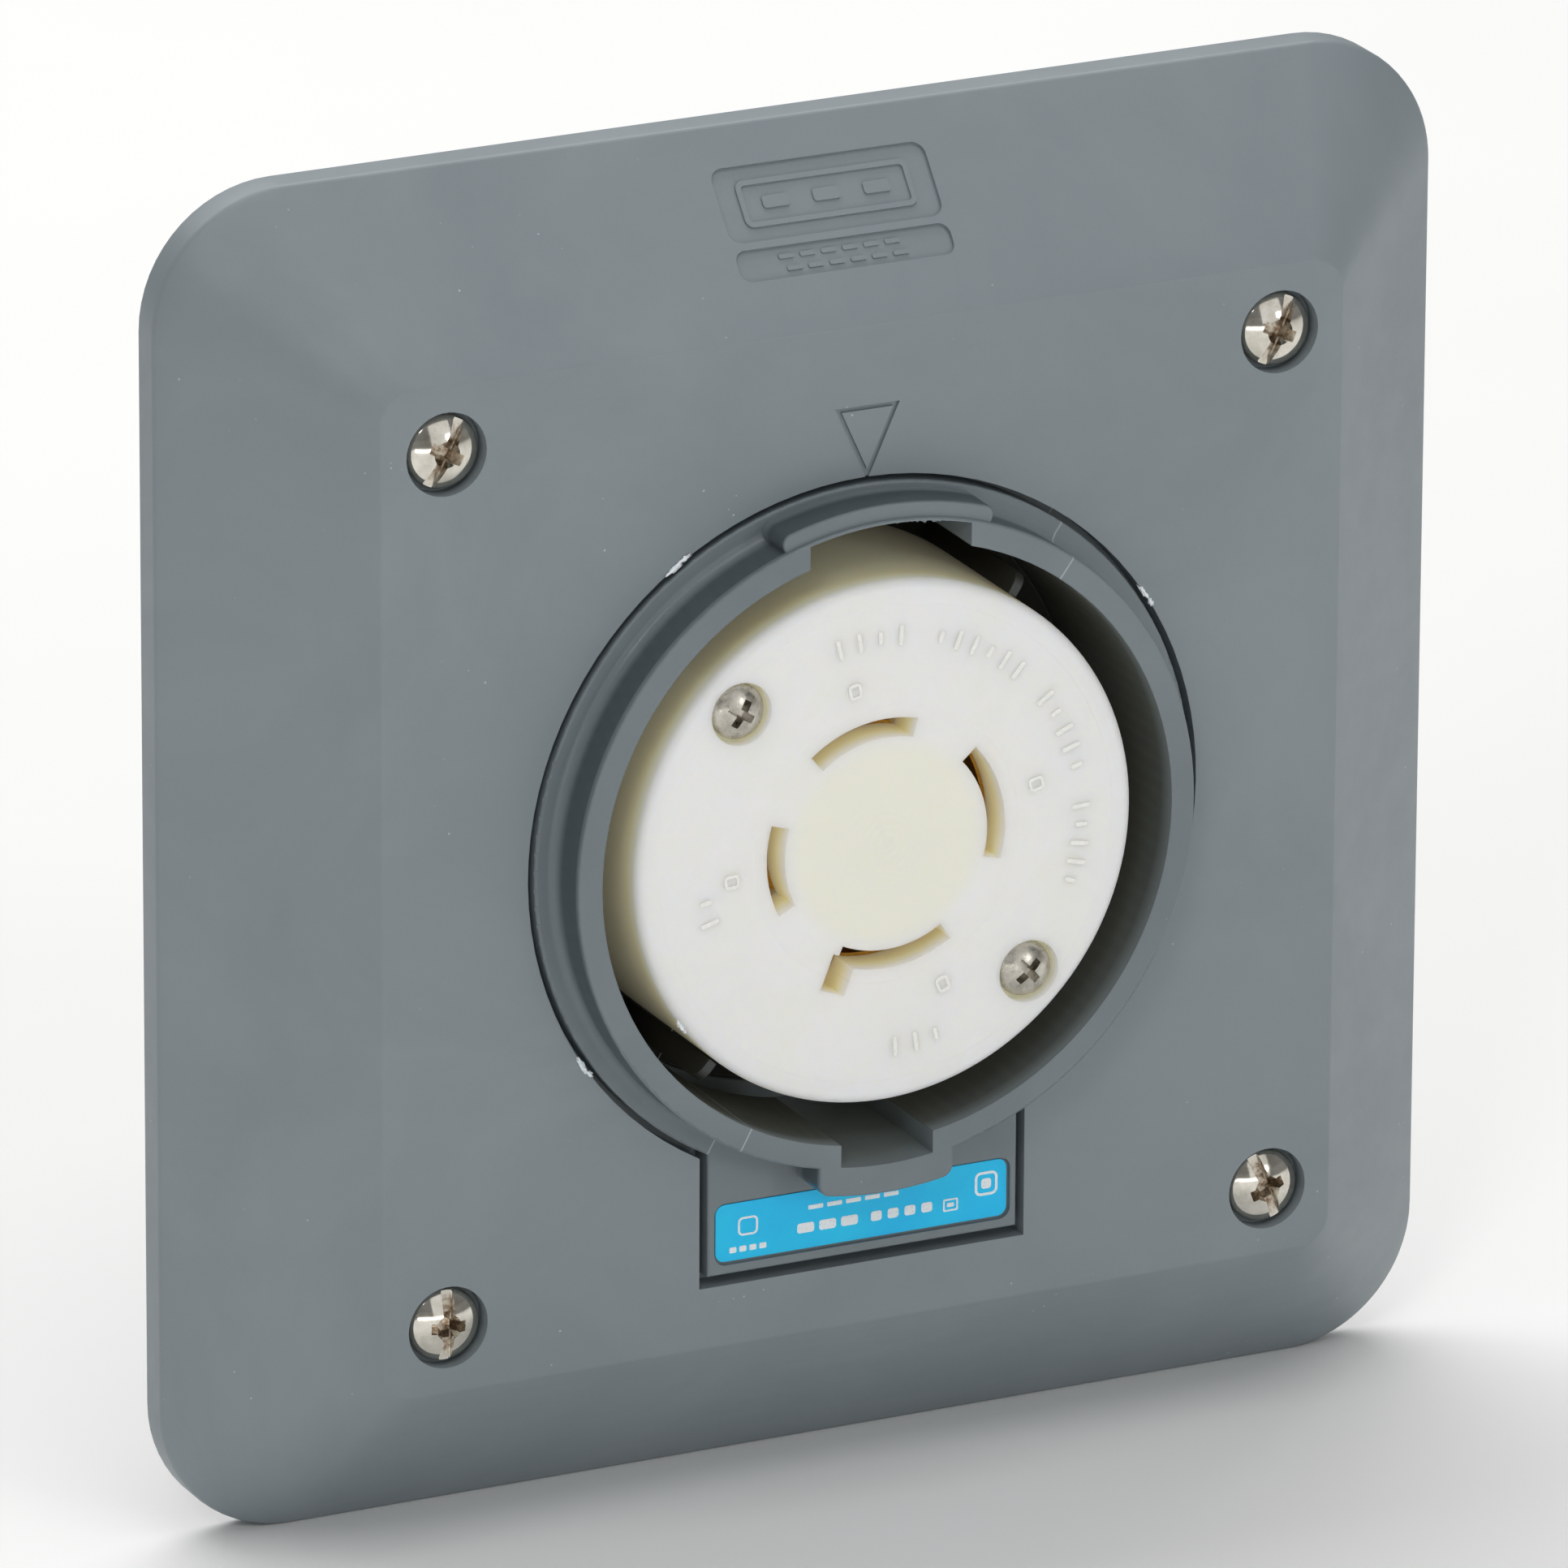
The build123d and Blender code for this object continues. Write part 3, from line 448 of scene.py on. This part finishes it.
FINISHES = {
    "grey_plastic": grey_plastic(),
    "housing_plastic": housing_plastic(),
    "label_film": label_film(),
    "label_ink": label_ink(),
    "white_nylon": white_nylon(),
    "nylon_marks": nylon_marks(),
    "black_plastic": black_plastic(),
    "zinc_steel": zinc_steel(),
    "zinc_screw": plated("zinc_screw", srgb(206, 208, 206), srgb(176, 178, 172), 0.26),
    "nickel_screw": plated("nickel_screw", srgb(206, 202, 192), srgb(176, 171, 160), 0.30),
    "chrome_screw": chrome_plate(),
    "retainer_nylon": retainer_nylon(),
    "brass": brass("brass", srgb(226, 187, 104), srgb(199, 155, 76), 0.30),
    "brass_screw": brass("brass_screw", srgb(230, 194, 116), srgb(205, 164, 84), 0.24),
    "green_screw": plated("green_screw", srgb(66, 138, 82), srgb(40, 104, 58), 0.28),
}


# ---------------------------------------------------------------- mesh helpers

def skin(rings, loop=False):
    """A closed mesh through a stack of rings of equal length. Its ends are capped, or joined in a loop."""
    mesh = bmesh.new()
    rows = [[mesh.verts.new(point) for point in ring] for ring in rings]
    pairs = list(zip(rows, rows[1:])) + ([(rows[-1], rows[0])] if loop else [])
    for low, high in pairs:
        for i in range(len(low)):
            j = (i + 1) % len(low)
            mesh.faces.new((low[i], low[j], high[j], high[i]))
    if not loop:
        mesh.faces.new(rows[0][::-1])
        mesh.faces.new(rows[-1])
    bmesh.ops.recalc_face_normals(mesh, faces=mesh.faces)
    return mesh


def ring(radius, z, steps=96):
    turns = [TURN * i / steps for i in range(steps)]
    return [(radius * math.cos(turn), radius * math.sin(turn), z) for turn in turns]


def lathe(profile, steps=96):
    """A turned solid from (radius, height) pairs."""
    return skin([ring(max(radius, 0.01), z, steps) for radius, z in profile])


def bend(start, corner, end, steps=6):
    """Points of a smooth curve around a corner."""
    points = []
    for i in range(steps + 1):
        t = i / steps
        points.append(tuple(a * (1 - t) ** 2 + 2 * b * t * (1 - t) + c * t * t
                            for a, b, c in zip(start, corner, end)))
    return points


def outline(width, height, corner, z, steps=5):
    """A round-cornered rectangle as a ring of points."""
    corner = max(corner, 0.001)
    points = []
    for quarter, (sx, sy) in enumerate(((1, 1), (-1, 1), (-1, -1), (1, -1))):
        for i in range(steps + 1):
            a = TURN / 4 * (quarter + i / steps)
            points.append((sx * (width / 2 - corner) + corner * math.cos(a),
                           sy * (height / 2 - corner) + corner * math.sin(a), z))
    return points


def pad(width, height, corner, thick, soft=0.05):
    """A low round-cornered block standing on z = 0, its top edge softened."""
    return skin([outline(width, height, corner, 0), outline(width, height, corner, thick - soft),
                 outline(width - 2 * soft, height - 2 * soft, corner - soft, thick)])


def frame_pad(width, height, corner, wall, thick):
    """A low round-cornered frame standing on z = 0."""
    w, h, c = width - 2 * wall, height - 2 * wall, corner - wall
    return skin([outline(width, height, corner, 0), outline(width, height, corner, thick),
                 outline(w, h, c, thick), outline(w, h, c, 0)], loop=True)


def thread(major, minor, pitch, bottom, top):
    """A threaded shank with a right-hand thread and a chamfered end at the bottom."""
    steps, rows = 40, math.ceil((top - bottom) / pitch * 8)
    rings = []
    for row in range(rows + 1):
        z = bottom + (top - bottom) * row / rows
        fade = min(1.0, (z - bottom) / pitch, (top - z) / pitch * 2)
        points = []
        for i in range(steps):
            phase = (z / pitch - i / steps) % 1.0
            crest = min(1.0, 1.25 * (1 - abs(2 * phase - 1)))
            radius = minor + (major - minor) * crest * fade - max(0.0, 0.35 - (z - bottom)) * 0.8
            points.append((radius * math.cos(TURN * i / steps), radius * math.sin(TURN * i / steps), z))
        rings.append(points)
    return skin(rings)


def moved(mesh, place):
    """The mesh, moved on the bench."""
    bmesh.ops.transform(mesh, matrix=place, verts=mesh.verts)
    return mesh


def joined(meshes):
    """Several meshes as one."""
    whole = bmesh.new()
    for mesh in meshes:
        spare = bpy.data.meshes.new("spare")
        mesh.to_mesh(spare)
        whole.from_mesh(spare)
        mesh.free()
        bpy.data.meshes.remove(spare)
    return whole


def at(radius, angle, z=0.0, turn=None):
    """A place on the bench by radius and angle in degrees; x then points outward unless turn is given."""
    a = math.radians(angle)
    spin = a if turn is None else math.radians(turn)
    return Matrix.Translation((radius * math.cos(a), radius * math.sin(a), z)) @ Matrix.Rotation(spin, 4, "Z")


def loose(mesh, name):
    """A scene object in bench coordinates, for cutting."""
    data = bpy.data.meshes.new(name)
    mesh.to_mesh(data)
    mesh.free()
    thing = bpy.data.objects.new(name, data)
    bpy.context.scene.collection.objects.link(thing)
    return thing


def cut(blank, cutters):
    """The blank with the cutters taken out of it."""
    body = loose(blank, "blank")
    tools = [loose(cutter, "cutter") for cutter in cutters]
    for tool in tools:
        step = body.modifiers.new("cut", "BOOLEAN")
        step.operation = "DIFFERENCE"
        step.solver = "EXACT"
        step.object = tool
    graph = bpy.context.evaluated_depsgraph_get()
    made = bpy.data.meshes.new_from_object(body.evaluated_get(graph))
    result = bmesh.new()
    result.from_mesh(made)
    for thing in [body, *tools]:
        bpy.data.objects.remove(thing)
    return result


def piece(name, mesh, finish, body="root", stands_for=(), sharp=SHARP_EDGE):
    """Turns a bench mesh into a named piece of the object."""
    data = bpy.data.meshes.new(name)
    mesh.to_mesh(data)
    mesh.free()
    data.transform(BENCH)
    data.shade_smooth()
    data.set_sharp_from_angle(angle=math.radians(sharp))
    data.materials.append(FINISHES[finish])
    thing = bpy.data.objects.new(name, data)
    bpy.context.scene.collection.objects.link(thing)
    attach(thing, body)
    if stands_for:
        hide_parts(*stands_for)
    return thing


# ---------------------------------------------------------------- screws

def head_blank(radius, side, dome, soft=0.3):
    """A pan head on z = 0 with a rounded shoulder."""
    ball = (radius ** 2 + dome ** 2) / (2 * dome)
    widest = math.asin((radius - soft) / ball)
    centre = side + dome - ball
    leans = [widest * i / 20 for i in range(20, -1, -1)]
    crown = [(ball * math.sin(lean), centre + ball * math.cos(lean)) for lean in leans]
    shoulder = bend((radius, side - soft), (radius, side), crown[0])
    foot = bend((radius - 0.12, 0.0), (radius, 0.0), (radius, 0.12), 3)
    return lathe([(0.0, 0.0), *foot, *shoulder[:-1], *crown])


def cross_cutter(top, width, half, depth):
    """A cross-drive point: four wings that taper towards its tip."""
    rings = []
    for share, grow in ((0.0, 1.0), (1.0, 0.42)):
        w = width / 2 * (1 - 0.35 * share)
        h = half * grow
        star = []
        for quarter in range(4):
            turn = Matrix.Rotation(TURN / 4 * quarter, 3, "Z")
            for x, y in ((w, w), (w, h), (-w, h)):
                star.append(turn @ Vector((x, y, top + 0.4 - (depth + 0.4) * share)))
        rings.append(star)
    return skin(rings)


def centre_cutter(top, radius, depth):
    """The round, tapered middle of a cross recess."""
    return lathe([(radius * 0.3, top - depth), (radius, top), (radius * 1.25, top + 0.4)], 24)


def slot_cutter(top, width, length, depth):
    """A straight driver slot with a slightly rounded bottom."""
    half, soft, floor_z = width / 2, 0.12, top - depth
    section = [(-half, top + 1), (half, top + 1), (half, floor_z + soft), (half - soft, floor_z),
               (-half + soft, floor_z), (-half, floor_z + soft)]
    return skin([[(x, y, z) for y, z in section] for x in (-length / 2, length / 2)])


def mounting_screw(name):
    """Long No. 6-32 screw, drawn about its own axis, for one corner."""
    node = "mounting_screw_" + name
    low, high = bench_box(node)
    radius = (high.x - low.x) / 2
    top = SCREW_SIDE + SCREW_DOME
    seat = high.z - top
    spin = Matrix.Rotation(math.radians(SLOT_ANGLE[name]), 4, "Z")
    cross = moved(cross_cutter(top, SCREW_SLOT_W, 2.0, 1.9), spin)
    slot = moved(slot_cutter(top, SCREW_SLOT_W, 8.0, 1.1), spin)
    blank = head_blank(radius, SCREW_SIDE, SCREW_DOME)
    head = moved(cut(blank, [cross, slot, centre_cutter(top, 1.3, 1.7)]), Matrix.Translation((0, 0, seat)))
    plain = lathe([(1.72, SCREW_PLAIN_Z), (1.72, seat + 0.2)], 48)
    shank = thread(1.75, 1.33, NO_6_PITCH, low.z, SCREW_PLAIN_Z + 0.6)
    middle = Matrix.Translation(((low.x + high.x) / 2, (low.y + high.y) / 2, 0))
    whole = moved(joined([head, plain, shank]), middle)
    return piece(node + "_look", whole, "chrome_screw", node, stands_for=[node])


def small_screw(radius, side, dome, cross, shank_r, shank_end):
    """A short cross-drive screw: head on z = 0, shank down to shank_end."""
    width, half, depth = cross
    head = cut(head_blank(radius, side, dome, 0.2), [cross_cutter(side + dome, width, half, depth)])
    return joined([head, thread(shank_r, shank_r * 0.78, SMALL_PITCH, shank_end, 0.1)])


def face_screws():
    """The two cross-drive screws sunk in the white face."""
    seat = FACE_Z - FACE_SCREW_SUNK
    low = bench_box("face_screws")[0].z
    screws = []
    for number, (angle, radius) in enumerate(FACE_SCREWS):
        screw = small_screw(2.6, 0.5, 0.95, (0.85, 1.75, 1.25), 1.45, low - seat)
        screws.append(moved(screw, at(radius, angle, seat, 58 + 74 * number)))
    piece("face_screws_look", joined(screws), "nickel_screw", stands_for=["face_screws"])


def hidden_screws():
    """The screws seen from behind: four on the strap and two on the rear cover."""
    flip = Matrix.Rotation(math.pi, 4, "X")
    low, high = bench_box("strap_screws")
    seat = low.z + 1.8
    screws = []
    for x in (-STRAP_SCREW_XY, STRAP_SCREW_XY):
        for y in (-STRAP_SCREW_XY, STRAP_SCREW_XY):
            screw = small_screw(3.0, 0.9, 0.9, (0.9, 1.7, 1.2), 1.55, seat - high.z)
            place = Matrix.Translation((x, y, seat)) @ Matrix.Rotation(x + 2 * y, 4, "Z")
            screws.append(moved(screw, place @ flip))
    piece("strap_screws_look", joined(screws), "zinc_screw", stands_for=["strap_screws"])
    low, high = bench_box("rear_cover_screws")
    screws = []
    for angle, radius in REAR_SCREWS:
        screw = small_screw(2.6, 0.7, 0.8, (0.8, 1.5, 1.0), 1.4, low.z + 1.5 - high.z)
        screws.append(moved(screw, at(radius, angle, low.z + 1.5, angle + 20) @ flip))
    piece("rear_cover_screws_look", joined(screws), "zinc_screw", stands_for=["rear_cover_screws"])


def terminal_screw(name):
    """Terminal screw with a combination drive, its head outward."""
    node = name + "_terminal_screw"
    angle = TERMINALS[name]
    low, high = bench_box(node)
    reach = max(abs(low.x), abs(high.x), abs(low.y), abs(high.y))
    top = 2.4
    cutters = [cross_cutter(top, 1.1, 1.9, 1.5), slot_cutter(top, 1.1, 8.0, 1.1)]
    head = cut(head_blank(3.6, 1.5, 0.9), cutters)
    seat = reach - top
    screw = joined([head, thread(2.08, 1.62, NO_6_PITCH, TERMINAL_TIP_R - seat, 0.1)])
    lay = Matrix.Translation((seat, 0, (low.z + high.z) / 2)) @ Matrix.Rotation(TURN / 4, 4, "Y")
    whole = moved(screw, Matrix.Rotation(math.radians(angle), 4, "Z") @ lay)
    finish = "green_screw" if name == "ground" else "brass_screw"
    piece(node + "_look", whole, finish, node, stands_for=[node])


for corner in CORNERS:
    mounting_screw(corner)
face_screws()
hidden_screws()
for terminal in TERMINALS:
    terminal_screw(terminal)


# ---------------------------------------------------------------- raised marks and print

def face_marks():
    """Plain raised ticks in the white face, where such devices carry their moulded marking."""
    ticks = []
    for start, count, radius, step in ((104, 4, 19.6, 6.0), (74, 6, 19.6, 5.2), (36, 5, 19.6, 5.6),
                                       (2, 5, 19.6, 5.2), (285, 3, 19.6, 6.0), (196, 2, 18.2, 6.5)):
        for i in range(count):
            tall = 1.9 if (i + count) % 3 else 1.2
            ticks.append(moved(pad(tall, 0.42, 0.18, 0.17, 0.06), at(radius, start - i * step, FACE_Z - 0.1)))
    for angle, radius in ((102, 15.2), (13, 15.4), (185, 15.4), (292, 15.4)):
        ticks.append(moved(frame_pad(1.5, 1.3, 0.4, 0.28, 0.15), at(radius, angle, FACE_Z - 0.1)))
    piece("face_marks", joined(ticks), "nylon_marks")


def label_marks():
    """White printed bars, frames and dots on the blue label."""
    spots = [pad_at(pad(1.5, 0.42, 0.1, 0.06, 0.01), x, 1.15) for x in (-4.6, -2.7, -0.8, 1.1, 3.0)]
    for x, width in ((-5.6, 1.7), (-3.4, 1.7), (-1.2, 1.7), (1.5, 1.1), (3.2, 1.1), (4.9, 1.1), (6.6, 1.1)):
        spots.append(pad_at(pad(width, 0.95, 0.25, 0.06, 0.01), x, -0.75))
    for x in (-12.9, -11.9, -10.9, -9.9):
        spots.append(pad_at(pad(0.7, 0.55, 0.12, 0.06, 0.01), x, -1.75))
    spots.append(pad_at(frame_pad(2.0, 1.8, 0.5, 0.2, 0.06), -11.4, 0.4))
    spots.append(pad_at(frame_pad(1.5, 1.2, 0.15, 0.16, 0.06), 9.0, -0.9))
    spots.append(pad_at(pad(0.7, 0.4, 0.1, 0.06, 0.01), 9.0, -0.9))
    spots.append(pad_at(frame_pad(2.3, 2.3, 0.6, 0.25, 0.06), 12.6, 0.6))
    spots.append(pad_at(pad(1.0, 1.0, 0.3, 0.06, 0.01), 12.6, 0.6))
    piece("label_marks", joined(spots), "label_ink")


def pad_at(mesh, x, y):
    """A mark laid on the label."""
    return moved(mesh, Matrix.Translation((x, LABEL_MIDDLE.y + y, LABEL_HIGH.z - 0.03)))


def shroud_flash():
    """The ragged flash under the upper hood."""
    chance = random.Random(7)
    rings = []
    hood_z = RIM_Z - 0.5
    for i in range(46):
        share = i / 45
        x = -1.0 + 8.4 * share
        y = math.sqrt(KEYWAY_R ** 2 - x * x)
        ragged = 0.06 + 0.4 * chance.random() * math.sin(math.pi * share)
        back = hood_z - 0.35 - 0.25 * chance.random()
        rings.append([(x, y + 0.1, hood_z - 0.12), (x, y - ragged, hood_z - 0.16),
                      (x, y - ragged * 0.9, back), (x, y + 0.1, back - 0.05)])
    piece("shroud_flash", skin(rings), "housing_plastic")


def shard(seed, size):
    """An irregular strip of torn moulding flash, about twice that size long."""
    crumb = bmesh.new()
    bmesh.ops.create_icosphere(crumb, subdivisions=3, radius=1.0)
    for vertex in crumb.verts:
        spot = vertex.co * 1.4 + Vector((seed * 7.3, 0, 0))
        vertex.co *= 0.45 + 1.1 * abs(noise.noise(spot))
        vertex.co = Vector((vertex.co.x * size, vertex.co.y * 0.3, vertex.co.z * 0.22))
    return crumb


# Angle, radius, height and half length of each strip.
FLASH = ((124.6, 33.45, 16.8, 1.1), (122.6, 33.55, 16.85, 0.7), (33.6, 33.35, 16.8, 1.0),
         (31.4, 33.4, 16.8, 0.5), (212.8, 33.5, 16.8, 1.1), (215.0, 33.4, 16.8, 0.5),
         (215.8, 24.75, 20.5, 0.7), (217.6, 24.7, 20.3, 0.4))


def flash_crumbs():
    """Pale crumbs of flash at the edge of the panel's hole and on the face's edge."""
    crumbs = []
    for number, (angle, radius, z, size) in enumerate(FLASH):
        crumbs.append(moved(shard(number, size), at(radius, angle, z, angle + 90)))
    piece("flash_crumbs", joined(crumbs), "label_ink", sharp=180)


def rear_marks():
    """Moulded marks on the rear cover: a bare-wire gauge, and dots that number the terminals."""
    flip = Matrix.Rotation(math.pi, 4, "X")
    sunk_z = REAR_Z + 0.05
    bars = [moved(frame_pad(15.0, 4.0, 0.8, 0.35, 0.35), Matrix.Translation((0, 0, sunk_z)) @ flip)]
    for i in range(6):
        tick = pad(0.35, 1.6 if i % 2 else 2.4, 0.1, 0.3)
        bars.append(moved(tick, Matrix.Translation((-6.25 + 2.5 * i, 0, sunk_z)) @ flip))
    for dots, angle in enumerate(TERMINALS.values(), 1):
        for i in range(dots):
            dot = lathe([(0.0, 0.0), (0.5, 0.0), (0.5, 0.2), (0.42, 0.3), (0.0, 0.32)], 24)
            bars.append(moved(dot, at(12.2, angle + (i - (dots - 1) / 2) * 7, sunk_z) @ flip))
    piece("rear_marks", joined(bars), "black_plastic")


def ejector_marks():
    """Low round rings that the mould's ejector pins left on the back of the cover plate."""
    flip = Matrix.Rotation(math.pi, 4, "X")
    profile = [(0.0, 0.0), (1.9, 0.0), (1.9, 0.1), (1.75, 0.16), (1.6, 0.1), (0.0, 0.08)]
    rings = []
    for far in (-38.5, 38.5):
        for near in (-15.0, 15.0):
            for x, y in ((far, near), (near, far)):
                place = Matrix.Translation((x, y, PLATE_BACK_Z + 0.04))
                rings.append(moved(lathe(profile, 40), place @ flip))
    piece("ejector_marks", joined(rings), "grey_plastic")


face_marks()
label_marks()
shroud_flash()
flash_crumbs()
rear_marks()
ejector_marks()


# ---------------------------------------------------------------- CAD nodes

def dress(thing, finish):
    """Gives a CAD node its finish, and smooth shading up to its sharp edges."""
    thing.data.materials.clear()
    thing.data.materials.append(FINISHES[finish])
    for face in thing.data.polygons:
        face.material_index = 0
        face.use_smooth = True
    weld = thing.modifiers.new("weld", "WELD")
    weld.merge_threshold = 0.002 * MM
    split = thing.modifiers.new("split", "EDGE_SPLIT")
    split.split_angle = math.radians(SHARP_EDGE)


for subpart in frame["record"]["subparts"]:
    thing = frame["nodes"][subpart["node"]]
    if not thing.hide_render:
        dress(thing, subpart["material_slot"])


# ---------------------------------------------------------------- floor, light and camera

def floor():
    """A wide pale floor that turns up into a low rim far outside the lights and the cameras."""
    ground = CAD_BOX[0].z
    profile = [(0.6, ground), (1.6, ground), *bend((3.4, ground), (4.6, ground), (4.6, ground + 1.0), 12)]
    mesh = bmesh.new()
    rows = [[mesh.verts.new(point) for point in ring(radius, z)] for radius, z in profile]
    mesh.faces.new(rows[0])
    for inner, outer in zip(rows, rows[1:]):
        for i in range(len(inner)):
            j = (i + 1) % len(inner)
            mesh.faces.new((inner[i], outer[i], outer[j], inner[j]))
    data = bpy.data.meshes.new("floor")
    mesh.to_mesh(data)
    mesh.free()
    data.shade_smooth()
    paper = Finish("floor_paper")
    paper.colour(paper.ramp(paper.noise(180, 3), (0.3, srgb(247, 247, 246)), (0.7, srgb(251, 251, 250))))
    paper.roughness(paper.spread(paper.noise(40, 3), 0.3, 0.7, 0.85, 0.95))
    data.materials.append(paper.material)
    thing = bpy.data.objects.new("floor", data)
    bpy.context.scene.collection.objects.link(thing)


def softbox(name, azimuth, elevation, distance, width, height, power):
    """A large soft lamp that faces the object. Azimuth 0 is straight in front, positive to the right."""
    a, e = math.radians(azimuth), math.radians(elevation)
    back = Vector((math.sin(a) * math.cos(e), -math.cos(a) * math.cos(e), math.sin(e)))
    data = bpy.data.lights.new(name, "AREA")
    data.shape = "RECTANGLE"
    data.size = width
    data.size_y = height
    data.energy = power
    lamp = bpy.data.objects.new(name, data)
    lamp.location = back * distance
    lamp.rotation_mode = "QUATERNION"
    lamp.rotation_quaternion = (-back).to_track_quat("-Z", "Y")
    bpy.context.scene.collection.objects.link(lamp)


# Azimuth and elevation in degrees, distance, width and height in metres, and power in watts.
LAMPS = {
    "front": (12, 22, 1.8, 1.3, 1.3, 3.1),
    "low": (-12, -18, 0.62, 0.6, 0.4, 1.6),
    "key": (-38, 36, 1.6, 0.3, 0.3, 2.4),
    "spark": (25, 14, 1.8, 0.24, 0.24, 2.0),
    "top": (0, 72, 1.5, 1.2, 0.9, 5.6),
    "back": (180, 58, 1.3, 1.6, 1.0, 14.0),
}


def lights():
    """A dim pale surround with softboxes in front, above and behind."""
    world = bpy.data.worlds.new("studio")
    world.use_nodes = True
    sky = world.node_tree.nodes["Background"]
    sky.inputs["Color"].default_value = (1.0, 0.995, 0.985, 1.0)
    sky.inputs["Strength"].default_value = 0.2
    bpy.context.scene.world = world
    for name, setting in LAMPS.items():
        softbox(name, *setting)
    bpy.context.scene.view_settings.view_transform = "Standard"


CAMERA_AT = (-0.65427, -1.35100, 0.53310)
CAMERA_YAW, CAMERA_PITCH, CAMERA_ROLL = 25.84, 19.59, -0.28
CAMERA_LENS = 403.3


def camera():
    """Long lens from the left and above, as the object was seen."""
    data = bpy.data.cameras.new("camera")
    data.sensor_width = 36
    data.lens = CAMERA_LENS
    data.clip_start, data.clip_end = 0.1, 20
    thing = bpy.data.objects.new("camera", data)
    roll = Matrix.Rotation(math.radians(CAMERA_ROLL), 3, "Z")
    pitch = Matrix.Rotation(math.radians(CAMERA_PITCH), 3, "X")
    yaw = Matrix.Rotation(math.radians(CAMERA_YAW), 3, "Y")
    stand = Matrix(((1, 0, 0), (0, 0, -1), (0, 1, 0)))
    thing.matrix_world = (stand @ (roll @ pitch @ yaw).transposed()).to_4x4()
    thing.location = CAMERA_AT
    bpy.context.scene.collection.objects.link(thing)
    bpy.context.scene.camera = thing


floor()
lights()
camera()
